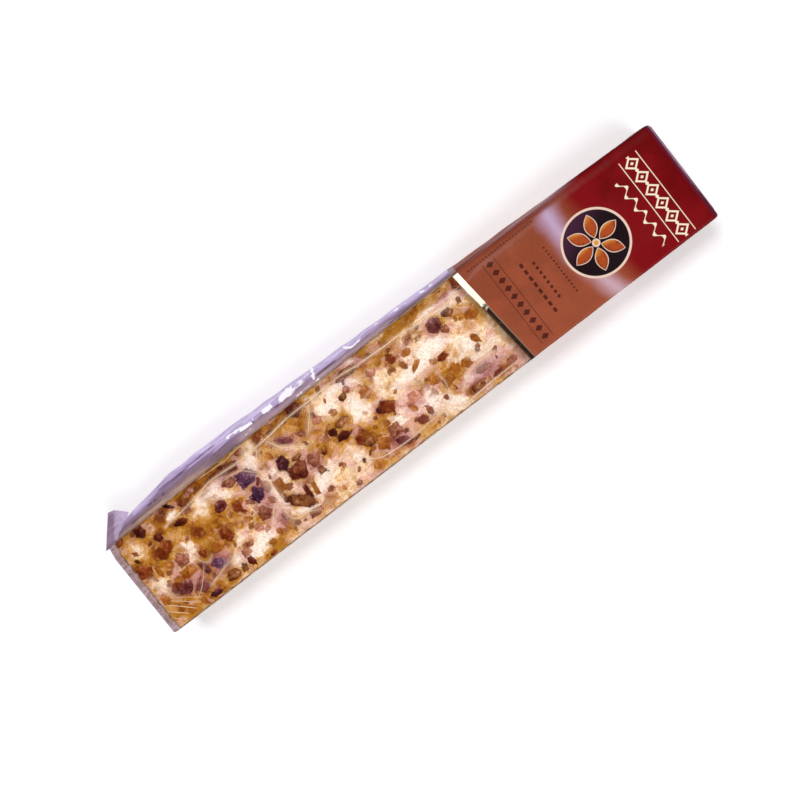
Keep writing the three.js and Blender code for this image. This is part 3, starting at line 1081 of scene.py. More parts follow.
@dataclass(frozen=True)
class Zone:
    """A soft oval of colour on the nougat's top: place, half sizes and strength."""

    x: float
    y: float
    along: float
    across: float
    strength: float = 1.0
    turn: float = 0.0

    def spread(self, x: Values, y: Values) -> Values:
        """Give how strongly the zone colours each place.

        Args:
            x: places along the bar, in millimetres.
            y: places across it, in millimetres.

        Returns:
            From 0 outside to the zone's strength in its middle.
        """
        u, v = from_middle(x, y, (self.x, self.y), self.turn)
        u, v = u / self.along, v / self.across
        return self.strength * np.exp(-0.9 * (u * u + v * v))


def zones(*rows: Sequence[float]) -> tuple[Zone, ...]:
    """Make one zone of each row of a table."""
    return tuple(Zone(*row) for row in rows)


def strongest(marks: "Sequence[Zone | Streak]", x: Values, y: Values) -> Values:
    """Give how strongly several zones or streaks show at each place.

    Args:
        marks: the zones or streaks.
        x: places along the bar, in millimetres.
        y: places across it, in millimetres.

    Returns:
        At each place, the strength of the strongest one.
    """
    strength = np.zeros_like(x)
    for mark in marks:
        strength = np.maximum(strength, mark.spread(x, y))
    return strength


AMBER_ZONES = zones(
    (-60.5, 13.2, 7.5, 2.2), (-72.5, 11.6, 3.2, 2.4), (-71.5, 8.8, 4.5, 1.8, 0.6),
    (-84, -10.8, 5.0, 3.4, 0.8), (-77, -10.5, 4.0, 3.5, 0.6), (-69, 3.8, 5.5, 3.0, 0.7),
    (-62, 2.2, 6.0, 2.4, 0.8, 10), (-66, -2.8, 5.0, 2.4, 0.8), (-79.5, 4.5, 5.0, 3.5, 0.5),
    (-57, -3, 4.0, 3.0, 0.4), (-86.5, 9.5, 2.2, 2.4, 0.5), (-73, -13, 5.0, 2.0, 0.5),
    (-52, -12.8, 3.5, 2.0, 0.7), (-46, -10.5, 4.5, 3.0, 0.7), (-50, 12.5, 8.0, 2.4, 0.5),
    (-37, 9.5, 4.5, 4.0, 0.6), (-31, 13.0, 9.0, 2.6, 1.0), (-26.5, 9.5, 4.0, 3.0, 0.8),
    (-23, 3.0, 5.5, 4.0, 0.8), (-23, -2.2, 5.0, 2.0, 0.5), (-12, -6.5, 5.5, 5.5, 0.9),
    (-13, -13, 6.0, 1.6, 0.6), (-17, 2.5, 4.0, 2.6, 0.4), (-29, -9.5, 5.0, 4.5, 0.25),
    (1, 11.5, 7.0, 4.0, 0.8), (12, 13.6, 8.0, 1.8, 1.0), (11, 9.5, 5.0, 3.0, 0.25),
    (22, 12.8, 6.0, 1.6, 0.7), (27.5, 4.2, 4.0, 3.0, 0.8), (13.5, -5.5, 6.5, 4.0, 0.9),
    (12, -9.5, 3.5, 3.0, 0.5), (20, -12.2, 8.0, 2.0, 0.9), (21, 2.5, 4.0, 1.8, 0.4),
    (-1, 1.8, 3.0, 2.5, 0.5), (-6, 4.5, 4.0, 3.0, 0.5), (-2.5, -13.2, 6.0, 1.6, 0.6),
)

PALE_ZONES = zones(
    (-84.5, -2.0, 2.0, 3.4, 0.5, 20), (-84, 8.8, 2.2, 2.6, 0.5), (-70.2, 11.2, 2.6, 1.6, 0.8),
    (-72.5, 1.0, 3.2, 3.6, 0.8), (-77, 12.2, 1.4, 1.8, 0.6), (-58, 9.3, 5.0, 1.8, 1.0),
    (-62.5, 6.8, 3.0, 2.0, 0.5), (-55.5, 6.8, 3.0, 2.2, 0.8), (-58.0, -5.4, 3.0, 1.8, 0.6),
    (-5.4, -6.6, 3.0, 1.5, 0.9), (-57.5, -10.6, 5.0, 2.2, 0.9), (-53, -9.0, 3.5, 1.8, 0.8),
    (-63.5, -9.0, 2.6, 1.4, 0.7), (-43.5, 9.0, 1.8, 4.0, 0.8, -15), (-42.8, -1.5, 1.0, 5.5, 0.8),
    (-38.5, 2.0, 1.8, 3.5, 0.5), (-30.5, -7.0, 4.5, 1.8, 1.0, 22), (-39, -10, 4.5, 1.2, 0.6, -20),
    (-18.8, -7.0, 2.4, 2.4, 0.5), (-18.0, 7.6, 4.5, 2.0, 0.7), (-11.5, 10.2, 4.5, 1.4, 0.9, -12),
    (-11.5, 3.0, 2.6, 3.5, 0.8), (-16, 9.5, 4.0, 1.6, 0.4), (6, 1.6, 8.5, 1.7, 0.9, 4),
    (13.5, 3.4, 5.5, 2.0, 1.0), (22, -1.5, 3.5, 3.0, 0.6), (17, -2.0, 3.0, 2.0, 0.8),
    (5.5, -7.8, 3.0, 2.6, 0.9, 40), (9.5, -11.5, 4.0, 1.8, 0.8, -30), (23.5, -5.3, 5.5, 1.0, 0.9),
    (16.5, -8.5, 3.0, 1.6, 0.6), (24, 9.6, 4.0, 1.5, 0.5), (-2.5, 5.0, 2.5, 1.8, 0.6),
    (-6.0, 13.4, 2.4, 0.8, 0.5), (18.0, 11.6, 3.0, 0.9, 0.6), (26.0, 10.6, 2.2, 1.2, 0.6),
    (-19.5, 12.2, 3.0, 0.8, 0.5), (-41.0, 12.6, 1.6, 1.6, 0.7), (-79.0, 13.6, 2.0, 0.8, 0.5),
    (4.0, 14.2, 3.0, 0.5, 0.5),
)

ROSY_ZONES = zones(
    (-45.6, -0.5, 2.6, 7.5, 0.8), (-46.5, -8.0, 3.0, 2.6, 0.6), (-50.5, 9.8, 4.5, 2.4, 0.8, -12),
    (-29.8, -1.0, 2.2, 2.6, 0.9), (-67.4, -7.0, 3.0, 3.2, 1.0, -30), (-76.0, -7.0, 5.5, 3.0, 0.7),
    (-60.5, -9.4, 2.2, 1.8, 0.6), (-32.5, 8.0, 3.2, 2.0, 0.6, -38), (-7.0, 12.2, 5.5, 1.8, 0.7),
    (-7.4, -10.5, 3.6, 2.4, 0.7), (1.6, -5.6, 4.4, 2.4, 0.7), (16.4, 6.0, 2.6, 2.4, 0.6),
    (21.0, -9.6, 7.5, 2.6, 0.9), (24.5, 11.2, 4.5, 1.6, 0.7),
)

HAZE_ZONES = zones(
    (-43.6, 8.8, 1.8, 3.0, 0.4), (-43.3, -1.0, 1.2, 6.0, 0.3), (-44.0, -8.5, 2.0, 3.0, 0.22),
    (-55.0, 10.2, 6.0, 1.2, 0.25, 8), (-84.0, -4.0, 1.6, 4.0, 0.2, 20),
    (-9.0, 9.5, 4.0, 1.2, 0.25, -10), (6.0, -11.5, 4.0, 1.4, 0.3, -12),
    (21.0, -8.6, 5.0, 1.6, 0.22, -4), (23.0, 9.8, 4.0, 1.6, 0.22),
)


@dataclass(frozen=True)
class NougatFinish:
    """Soft nougat: pale and tan swirls that the caramel has stained amber and brown in places."""

    cream: Colour = srgb(238, 206, 166)
    rosy_cream: Colour = srgb(234, 198, 180)
    white: Colour = srgb(247, 230, 216)
    tan: Colour = srgb(210, 160, 96)
    rosy: Colour = srgb(202, 148, 130)
    amber: Colour = srgb(180, 120, 30)
    umber: Colour = srgb(162, 94, 62)
    brown: Colour = srgb(124, 52, 10)
    pink: Colour = srgb(220, 168, 156)
    lilac: Colour = srgb(188, 128, 138)

    def pieces(
        self, board: Board, colour: Socket, size: float, amount: Field, swirl: float
    ) -> Socket:
        """Set soft caramel pieces of one size in the nougat.

        Args:
            board: the material's board.
            colour: the ground colour.
            size: width of a piece in millimetres.
            amount: the share of the places that hold a piece, from 0 to 1.
            swirl: how far the outlines are bent, in millimetres.

        Returns:
            The colour with the pieces in it.
        """
        edge, chance, tone = board.mosaic(size, swirl)
        shade = board.noise(size * 0.5, detail=3, shift=size * 7)
        rough = (shade - 0.5) * 0.5
        held = (amount - chance).ramp(-0.02, 0.1) * (edge + rough * 0.5).ramp(0.0, 0.2)
        body = board.mix(self.brown, self.amber, (tone * 1.3 + rough * 1.6).ramp(0.0, 0.4))
        body = board.mix(body, self.tan, (tone + rough * 1.4).ramp(0.45, 0.7))
        body = board.mix(body, self.pink, (tone + rough).ramp(0.74, 0.88))
        return board.mix(colour, body, held * 0.62)

    def material(self) -> bpy.types.Material:
        """Make the material.

        Returns:
            The finished material.
        """
        board = Board("nougat")
        x, y, _ = board.axes()
        names = ("amber", "pale", "chip_halo", "rosy")
        amber, pale, chip_halo, rosy = (board.attribute(name) for name in names)
        large = board.noise(8, detail=2, distortion=0.5)
        medium = board.noise(3.2, detail=4, distortion=1.1, shift=11)
        streak = board.noise(2.0, detail=4, distortion=1.4, shift=77, stretch=(1.8, 1, 1))
        small = board.noise(0.9, detail=3, distortion=0.4, shift=23)
        grain = board.noise(0.28, detail=3, shift=5)
        hue = board.noise(4.2, detail=3, distortion=0.9, shift=41)
        golden = (hue - 0.5) * 1.9 + (streak - 0.5) * 0.5 + amber * 0.35 - rosy * 1.0 + 0.07
        golden = golden.ramp(-0.24, 0.28)
        warmth = (large - 0.5) * 0.7 + (medium - 0.5) * 1.5 + (streak - 0.5) * 1.1
        warmth = warmth + amber * 0.86 - pale * 1.0 + chip_halo * 0.36 + (small - 0.5) * 0.3
        ground = board.mix(self.rosy, self.tan, golden)
        light = board.mix(self.rosy_cream, self.cream, golden)
        colour = board.mix(light, ground, warmth.ramp(0.0, 0.26))
        colour = board.mix(colour, self.pink, golden.ramp(0.5, 0.0) * 0.35)
        deep = board.mix(self.umber, self.amber, golden)
        colour = board.mix(colour, deep, (warmth + (small - 0.5) * 0.5).ramp(0.36, 0.64))
        burnt = (warmth + (small - 0.5) * 0.9).ramp(0.72, 1.12)
        colour = board.mix(colour, self.brown, burnt * 0.85)
        lightness = pale * 1.15 - (medium - 0.5) * 1.1 - chip_halo * 0.25 - amber * 0.3
        lightness = lightness + (streak - 0.5) * 1.1 + (small - 0.5) * 0.7
        colour = board.mix(colour, self.white, lightness.ramp(0.12, 0.66) * 0.95)
        amount = (0.3 + amber * 0.4 - pale * 0.4 + (large - 0.5) * 0.5).most(0.02)
        colour = self.pieces(board, colour, 4.2, amount, 1.4)
        colour = self.pieces(board, colour, 2.2, amount * 0.6, 0.8)
        colour = board.mix(colour, self.lilac, (rosy + (small - 0.5) * 0.6).ramp(0.2, 0.9) * 0.45)
        colour = board.tinted(colour, 0.93 + (small - 0.5) * 0.75 + (grain - 0.5) * 1.45)
        # Painted shade: the nougat darkens over the last 2 mm before the gold band.
        shade_beside_band = (x + y * math.tan(FORM.band_slant)).ramp(27.9, 30.2)
        colour = board.tinted(colour, 1 - shade_beside_band * 0.5)
        normal = board.bump(medium * 0.4 + small * 0.4 + grain * 0.2, 0.55, 0.6)
        others = {"Specular IOR Level": 0.07, "Normal": normal}
        return board.finished(board.principled(colour, 0.45 + small * 0.2, others))


@dataclass
class Nougat:
    """The bar of nougat itself, which runs the whole length of the pack."""

    skin: float = 0.3 * MM
    half_width: float = 14.6 * MM
    clear_end: float = 88.3 * MM
    printed_end: float = 89.6 * MM
    edge: float = 0.6 * MM
    lump: float = 0.14 * MM
    fine_lump: float = 0.06 * MM
    lump_waves: tuple[tuple[float, ...], ...] = (  # per mm along, across and up, start
        (0.9, 0.7, 0.6, 0.3), (0.5, -1.1, 0.9, 1.9), (1.6, 0.5, -0.8, 4.0), (-0.7, 1.9, 1.3, 5.1)
    )
    chip_halo_reach: float = 1.1
    cuts: tuple[tuple[int, float, int], ...] = (  # axis, shortest edge, new rings
        (0, 10 * MM, 17), (0, 5 * MM, 17), (1, 10 * MM, 55), (2, 10 * MM, 29)
    )

    def build(self) -> Piece:
        """Model and dress the bar.

        Returns:
            The piece.
        """
        low = (-self.clear_end, -self.half_width, self.skin)
        high = (self.printed_end, self.half_width, FORM.height - self.skin)
        bar = Bench.block("nougat", low, high)
        Bench.round_edges(bar, self.edge, 3)
        for axis, shortest, cuts in self.cuts:
            Bench.cut_along(bar, axis, shortest, cuts)
        points = FORM.settled(Bench.points(bar), with_fin=False)
        x, y, z = (points / MM).T
        under = np.clip(z / 2, 0, 1)
        lumps = sum(np.sin(a * x + b * y + c * z + start) for a, b, c, start in self.lump_waves)
        lumps /= len(self.lump_waves)
        fine = np.sin(3.1 * x + 1.3 * y + z) * np.sin(3.4 * y - 0.9 * x + 1.4 * z + 2)
        lumps = lumps + self.fine_lump / self.lump * fine
        outward = points / np.array([self.clear_end, self.half_width, FORM.height / 2])
        outward[:, 2] -= 1
        outward = np.where(np.abs(outward) > 0.9, np.sign(outward), 0)
        points = points + outward * (self.lump * lumps * under)[:, None] - outward * self.lump * 0.5
        Bench.move_points(bar, points)
        on_top = eased(z, 13, 15.4)
        shoulder = eased(y, 10.6, 12.2) * 0.26
        side = 0.3 * (np.sin(0.42 * x + 0.3 * z) * np.sin(0.27 * x - 0.5 * z + 1.7) > 0)
        amber = strongest(AMBER_ZONES, x, y) + shoulder + 0.28 * eased(-x, 46, 60)
        Bench.mark(bar, "amber", amber * on_top + side * (1 - on_top))
        Bench.mark(bar, "pale", strongest(PALE_ZONES, x, y) * on_top)
        Bench.mark(bar, "rosy", strongest(ROSY_ZONES, x, y) * on_top)
        # Warmer and darker nougat near the darker chips on the top, and a flat 0.3 on the walls.
        chip_halo = np.zeros_like(x)
        for chip in TOP_CHIPS:
            if chip.kind not in (ChipKind.PINK, ChipKind.AMBER):
                chip_halo = np.maximum(chip_halo, chip.halo(x, y, self.chip_halo_reach))
        Bench.mark(bar, "chip_halo", chip_halo * on_top + 0.3 * (1 - on_top))
        Bench.smooth(bar, 60)
        bar.data.materials.append(NougatFinish().material())
        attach(bar, "root")
        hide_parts("clear_wrap")
        return bar


# ---- Film ----


@dataclass(frozen=True)
class ClearFilmFinish:
    """Clear glossy film: nearly unseen where it lies tight, lilac and hazy where it is slack, with painted
    shade on the fin's inner part and its folds and painted highlights on its glints and creases.
    """

    outer: Colour = srgb(208, 192, 228)
    middle: Colour = srgb(182, 161, 203)
    dusk: Colour = srgb(139, 115, 145)
    tip: Colour = srgb(136, 108, 114)
    deep: Colour = srgb(136, 110, 120)
    # seam: the nougat's tan seen through the film at the wall, with a painted highlight of the film's edge.
    seam: Colour = srgb(182, 148, 130)
    rose: Colour = srgb(178, 148, 158)
    shadow: Colour = srgb(110, 82, 98)
    # fold: painted shade along the film's folds.
    fold: Colour = srgb(78, 46, 66)
    end: Colour = srgb(151, 125, 124)
    end_rim: Colour = srgb(176, 156, 178)
    end_haze: Colour = srgb(180, 146, 132)
    glint: Colour = srgb(252, 247, 255)
    # crease: painted highlight along the creases and their veils; also the whitish doubled film of the
    # underside seam.
    crease: Colour = srgb(252, 218, 182)
    haze: Colour = srgb(232, 206, 200)

    def slack_colour(self, board: Board, x: Field, place: Field) -> Socket:
        """Colour the slack film from the wall outwards, painted darker on the fin's inner part as shade and
        lighter on its outer part as light.

        Args:
            board: the material's board.
            x: the place along the bar.
            place: 0 at the wall, 0.5 at the fold, 1 at the outer edge.

        Returns:
            The colour.
        """
        # Near the wall: tan nougat through the film with a painted edge highlight.
        near_wall = board.mix(self.seam, self.deep, place.ramp(0.04, 0.2))
        rosy = x.ramp(-46, -41) * x.ramp(13, 6)
        near_wall = board.mix(near_wall, self.rose, rosy * 0.85)
        brown = x.ramp(-52, -64) * place.ramp(0.3, 0.12)
        near_wall = board.mix(near_wall, self.seam, brown * 0.8)
        # Painted shade and light: deep and dusk darken the inner part of the fin, middle and outer lighten
        # its outer part.
        colour = board.mix(near_wall, self.dusk, place.ramp(0.34, 0.47) * (1 - rosy * 0.4))
        shaded = x.ramp(-54, -50) * x.ramp(-41, -45) * place.ramp(0.58, 0.44)
        colour = board.mix(colour, self.shadow, shaded * 0.6)
        colour = board.mix(colour, self.middle, place.ramp(0.52, 0.64))
        colour = board.mix(colour, self.outer, place.ramp(0.66, 0.86))
        return board.mix(colour, self.tip, x.ramp(-78.6, -80.4) * 0.35)

    def material(self) -> bpy.types.Material:
        """Make the material.

        Returns:
            The finished material.
        """
        board = Board("clear_film")
        x, _, _ = board.axes()
        names = ("slack", "out", "milk_and_highlight", "ending", "glint", "folded", "haze")
        slack, out, milk_and_highlight, ending, glint, folded, haze = (board.attribute(name) for name in names)
        streaks = board.noise(0.9, detail=3, distortion=0.4, stretch=(9, 1, 1))
        crumple = board.noise(1.8, detail=4, distortion=1.0, shift=7, stretch=(3, 1, 1))
        fleck = board.noise(0.7, detail=3, distortion=0.6, shift=19, stretch=(2.5, 1, 1))
        place = out + (streaks - 0.5) * 0.46 + (crumple - 0.5) * 0.2
        colour = self.slack_colour(board, x, place)
        # Painted shade along the folds.
        colour = board.mix(colour, self.fold, (folded + (fleck - 0.5) * 0.8).ramp(0.3, 0.75) * 0.75)
        colour = board.tinted(colour, 0.98 + (fleck - 0.5) * 0.5 + (streaks - 0.5) * 0.5)
        outermost = (-x + (crumple - 0.5) * 1.2).ramp(89.2, 90.1)
        closing = board.mix(self.end, self.end_rim, outermost)
        closing = board.mix(closing, self.end_haze, (-x + (crumple - 0.5) * 1.8).ramp(88.8, 87.9))
        closing = board.mix(closing, self.rose, (fleck + crumple - 1).ramp(0.0, 0.12) * 0.6)
        closing = board.tinted(closing, 1.0 + (crumple - 0.5) * 1.0 + (fleck - 0.5) * 0.6)
        ending = (ending + (crumple - 0.5) * 1.1).ramp(0.1, 0.8) * ending.ramp(0.0, 0.15)
        colour = board.mix(colour, closing, ending.ramp(0.0, 0.1))
        bright = (glint + (crumple - 0.5) * 0.8 + (fleck - 0.5) * 1.2).ramp(0.32, 0.66)
        _, chance, _ = board.mosaic(2.2, 0.3)
        bright = bright * glint.ramp(0.02, 0.2) * (chance - 0.24).ramp(0.0, 0.04)
        colour = board.mix(colour, self.glint, bright)
        tight = 1 - slack
        colour = board.mix(colour, self.haze, (haze - milk_and_highlight).ramp(0.0, 0.1) * tight)
        # Painted highlight along the creases, and the whitish doubled film at the underside seam.
        colour = board.mix(colour, self.crease, milk_and_highlight.ramp(0.05, 0.2) * tight)
        cover = (slack * (0.86 + streaks * 0.25)).most(bright * slack)
        cover = cover.most(ending * 0.95)
        cover = cover.most(haze * (0.8 + (crumple - 0.5) * 1.6))
        cover = cover.most(milk_and_highlight * (0.9 + (crumple - 0.5) * 0.9)).least(0.98).most(0.0)
        normal = board.bump(crumple * 0.6 + streaks * 0.4, 0.25, 0.5)
        hazy = board.principled(colour, 0.4, {"Specular IOR Level": 0.15, "Normal": normal})
        body = board.layered(cover, board.clear(), hazy)
        polish = {"Color": WHITE, "Roughness": 0.08, "Normal": normal}
        gloss = board.node("ShaderNodeBsdfGlossy", {}, polish).outputs[0]
        fresnel = board.node("ShaderNodeFresnel", {}, {"IOR": 1.3, "Normal": normal}).outputs[0]
        shine = (Field(board, fresnel) - 0.011).most(0.002) * (1 - cover.ramp(0.2, 0.9) * 0.6)
        return board.finished(board.layered(shine, body, gloss))


@dataclass(frozen=True)
class GoldFinish:
    """A gold line: pale and bright toward its +Y end, dark with tan borders below; the pale part is a
    painted reflection of light, the dark part a painted reflection of the dark.
    """

    pale: Colour = srgb(246, 238, 218)
    tan: Colour = srgb(134, 99, 76)
    gold: Colour = srgb(150, 104, 52)
    # Painted dark reflection in the foil.
    dark_reflection: Colour = srgb(26, 8, 2)
    slack: Colour = srgb(150, 130, 140)
    shadow: Colour = srgb(104, 56, 18)

    def material(self) -> bpy.types.Material:
        """Make the material.

        Returns:
            The finished material.
        """
        board = Board("gold_print")
        x, y, _ = board.axes()
        across = (x - FORM.band_x / MM + y * math.tan(FORM.band_slant)) / (FORM.band_width / MM / 2)
        mottle = board.noise(0.9, detail=4, shift=3)
        fine = board.noise(0.3, detail=2)
        # Painted reflection: pale toward +Y as light reflected in the foil, dark below as the dark it
        # reflects.
        bright = (y + (mottle - 0.5) * 7).ramp(2.4, 5.0)
        core = board.mix(self.dark_reflection, self.gold, (fine - 0.5).ramp(0.04, 0.3) * 0.4)
        inner = board.mix(core, self.tan, abs(across + 0.08).ramp(0.5, 0.78))
        colour = board.mix(inner, self.pale, bright)
        beside = (y + (mottle - 0.5) * 2).ramp(9.2, 6.0)
        colour = board.mix(colour, self.shadow, across.ramp(-0.7, -0.95) * beside * 0.8)
        colour = board.mix(colour, self.shadow, y.ramp(14.2, 14.6))
        colour = board.mix(colour, self.slack, y.ramp(14.7, 15.1))
        normal = board.bump(mottle, 0.12, 0.4)
        others = {"Metallic": 0.05 + bright * 0.3, "Specular IOR Level": 0.1, "Normal": normal}
        return board.finished(board.principled(colour, 0.3 + mottle * 0.2, others))


@dataclass(frozen=True)
class PrintFinish:
    """The printed end: terracotta that turns dark red past a lilac glow, with plain ornament."""

    terracotta: Colour = srgb(159, 79, 52)
    clay: Colour = srgb(145, 71, 46)
    red: Colour = srgb(128, 5, 14)
    deep_red: Colour = srgb(108, 1, 5)
    glow: Colour = srgb(208, 182, 220)
    ink: Colour = srgb(72, 22, 18)
    cream: Colour = srgb(252, 238, 210)
    plate: Colour = srgb(26, 8, 14)
    plate_sheen: Colour = srgb(74, 34, 60)
    rim: Colour = srgb(238, 208, 190)
    almond: Colour = srgb(176, 76, 30)
    almond_dark: Colour = srgb(110, 34, 18)
    honey: Colour = srgb(226, 150, 60)
    glow_pink: Colour = srgb(216, 184, 200)
    margin: Colour = srgb(160, 124, 150)
    closing: Colour = srgb(98, 26, 46)
    # Painted shade and a painted lilac sheen along the print's rounded +Y edge.
    edge_sheen: Colour = srgb(141, 103, 114)
    edge_shade: Colour = srgb(128, 60, 46)
    edge_shade_red: Colour = srgb(80, 10, 14)

    plate_x: float = 62.6
    plate_y: float = -1.4
    plate_radius: float = 8.6
    almonds: int = 6
    almond_long: float = 2.9
    almond_wide: float = 1.45
    almond_from_middle: float = 4.3
    lozenges_x: float = 38.4
    dashes_x: float = 44.4
    dots: tuple[tuple[float, ...], ...] = (  # x, period, from, to, radius, strength
        (47.3, 1.5, -7.0, 5.0, 0.42, 0.9), (51.6, 1.05, -8.4, 6.3, 0.3, 0.75)
    )
    edging_y: float = 12.9
    chain_x: float = 81.2
    scroll_x: float = 75.9
    fin_side_slope: float = 0.0458
    ends_at: float = 88.9
    margin_from: float = 89.6

    @staticmethod
    def fill(distance: Field, soft: float = 0.12) -> Field:
        """Give 1 inside an outline, where the distance is below 0, and 0 outside it."""
        return distance.ramp(soft / 2, -soft / 2)

    @staticmethod
    def row(y: Field, period: float, low: float, high: float) -> tuple[Field, Field]:
        """Repeat a motif across the bar.

        Args:
            y: the place across the bar.
            period: distance from one motif to the next.
            low: where the row starts.
            high: where it ends.

        Returns:
            The place within one motif, and 1 where the row runs.
        """
        count = round((high - low) / period)
        local = (((y - low) / period).fraction() - 0.5) * period
        runs = (abs(y - (low + count * period / 2)) - count * period / 2).ramp(0.01, -0.01)
        return local, runs

    def ornament(self, board: Board, x: Field, y: Field, colour: Socket) -> Socket:
        """Print the rows of ornament.

        Args:
            board: the material's board.
            x: the place along the bar.
            y: the place across it.
            colour: the ground colour.

        Returns:
            The colour with the ornament on it.
        """
        off = abs(x - self.lozenges_x)
        local, runs = self.row(y, 2.55, -13.4, 12.1)
        lozenge = off / 1.15 + abs(local) / 0.85 - 1
        colour = board.mix(colour, self.ink, self.fill(lozenge) * runs * 0.9)
        line = self.fill(abs(off - 1.75) - 0.09) * (abs(y + 0.65) - 12.7).ramp(0.1, -0.1)
        colour = board.mix(colour, self.ink, line * 0.8)
        local, runs = self.row(y, 2.0, -9.4, 6.6)
        dash = (abs(x - self.dashes_x) - 0.42).most(abs(local) - 0.62)
        colour = board.mix(colour, self.ink, self.fill(dash) * runs * 0.9)
        for at, period, low, high, radius, strength in self.dots:
            local, runs = self.row(y, period, low, high)
            dot = ((x - at) * (x - at) + local * local).root() - radius
            colour = board.mix(colour, self.ink, self.fill(dot) * runs * strength)
        local, runs = self.row(x, 0.95, 32.6, 53.5)
        dash = (abs(y - self.edging_y) - 0.3).most(abs(local) - 0.3)
        colour = board.mix(colour, self.ink, self.fill(dash) * runs * 0.6)

        off = x - self.chain_x
        local, runs = self.row(y, 4.1, -13.9, 10.7)
        outer = abs(off) / 1.75 + abs(local) / 1.5 - 1
        chain = self.fill(abs(outer) - 0.2, 0.1).most(self.fill(outer + 0.72, 0.1))
        beyond = 2.05 - abs(local)
        pearl = (off * off + beyond * beyond).root() - 0.42
        colour = board.mix(colour, self.cream, chain.most(self.fill(pearl)) * runs)
        rules = self.fill(abs(abs(off) - 2.55) - 0.11) * (abs(y + 1.6) - 12.3).ramp(0.1, -0.1)
        colour = board.mix(colour, self.cream, rules)
        swing = (y * 1.62).sine()
        leaf = (swing * swing).ramp(0.2, 1) * 0.24
        scroll = self.fill(abs(x - self.scroll_x - swing * 0.85) - 0.16 - leaf)
        return board.mix(colour, self.cream, scroll * (abs(y + 2.6) - 9.7).ramp(0.15, -0.15))

    def picture(self, board: Board, x: Field, y: Field, colour: Socket) -> Socket:
        """Print a plate of almonds, seen from above.

        Args:
            board: the material's board.
            x: the place along the bar.
            y: the place across it.
            colour: the ground colour.

        Returns:
            The colour with the picture on it.
        """
        dx, dy = x - self.plate_x, y - self.plate_y
        radius = (dx * dx + dy * dy).root()
        sheen = board.mix(self.plate, self.plate_sheen, (dy - dx * 0.5).ramp(1, 9) * 0.8)
        colour = board.mix(colour, sheen, self.fill(radius - self.plate_radius))
        grain = board.noise(0.7, detail=4, distortion=0.6, shift=17)
        fine = board.noise(0.25, detail=3, shift=29)
        for number in range(self.almonds):
            angle = (number + 0.2) / self.almonds * math.tau
            c, s = math.cos(angle), math.sin(angle)
            along = (dx * c + dy * s - self.almond_from_middle) / self.almond_long
            across = (dy * c - dx * s) / self.almond_wide
            lens = (abs(across) + along * along - 1) * self.almond_wide
            roast = (grain * 1.2 - lens * 0.35).ramp(0.3, 0.9)
            skin = board.mix(self.almond_dark, self.almond, roast)
            lit = (across * c + along * s + (fine - 0.5) * 0.9).ramp(0.2, 1.0)
            skin = board.mix(skin, self.honey, lit * 0.8)
            colour = board.mix(colour, self.rim, self.fill(lens - 0.22))
            colour = board.mix(colour, skin, self.fill(lens))
        hub = radius - 1.05
        colour = board.mix(colour, self.rim, self.fill(hub))
        colour = board.mix(colour, self.honey, self.fill(hub + 0.45))
        return board.mix(colour, self.rim, self.fill(abs(radius - self.plate_radius) - 0.3))

    def material(self) -> bpy.types.Material:
        """Make the material.

        Returns:
            The finished material.
        """
        board = Board("printed_film")
        x, y, z = board.axes()
        cloud = board.noise(7, detail=3, shift=2)
        fine = board.noise(0.6, detail=4, shift=9)
        left = board.mix(self.clay, self.terracotta, (cloud + y * -0.012).ramp(0.35, 0.65))
        deep = (cloud + y * 0.01 + (x - 78) * 0.02).ramp(0.4, 0.8)
        right = board.mix(self.red, self.deep_red, deep)
        lean = x + y * 0.11
        colour = board.mix(left, right, (lean + (cloud - 0.5) * 2).ramp(60.5, 67))
        bowed = lean - (y + 1) * (y + 1) * 0.008
        glow = (abs(bowed - 57.2) + (cloud - 0.5) * 3.5).ramp(4.6, -0.8)
        strength = (0.82 + (cloud - 0.5) * 0.6) * y.ramp(15.2, 11.5)
        tint = board.mix(self.glow_pink, self.glow, y.ramp(-6, 8))
        colour = board.mix(colour, tint, glow * strength)
        on_top = z.ramp(12.8, 13.8)
        plain = colour
        colour = self.picture(board, x, y, colour)
        colour = self.ornament(board, x, y, colour)
        colour = board.mix(plain, colour, on_top)
        outline = FORM.half_width / MM + (FORM.fin_gone_at / MM - x) * self.fin_side_slope
        edge = (y - outline + (fine - 0.5) * 0.5) * on_top - (1 - on_top) * 9
        left_side = x.ramp(70, 58)
        # Painted shade and lilac sheen along the rounded +Y edge; toward the end a dark red line of painted
        # shade.
        colour = board.mix(colour, self.edge_shade, edge.ramp(-2.9, -1.7) * left_side * 0.85)
        colour = board.mix(colour, self.edge_sheen, edge.ramp(-1.5, -0.6) * left_side)
        dark_line = edge.ramp(-0.55, -0.3) * edge.ramp(0.5, 0.2)
        colour = board.mix(colour, self.edge_shade_red, dark_line * (1 - left_side) * 0.8)
        close = (x - self.ends_at + (fine - 0.5) * 0.3).ramp(0, 0.3)
        colour = board.mix(colour, self.closing, close * on_top)
        margin = (x - self.margin_from + (fine - 0.5) * 0.3).ramp(0, 0.3) * z.ramp(13.5, 14.5)
        colour = board.mix(colour, self.margin, margin * (y + (cloud - 0.5) * 10).ramp(-9, 1) * 0.8)
        colour = board.tinted(colour, 0.88 + (fine - 0.5) * 0.22)
        ripple = board.noise(5, detail=3, distortion=0.5, shift=13, stretch=(1, 2.5, 1))
        normal = board.bump(ripple * 0.8 + fine * 0.04, 0.4, 0.3)
        others = {"Specular IOR Level": 0.08, "Normal": normal}
        return board.finished(board.principled(colour, 0.25 + fine * 0.08, others))


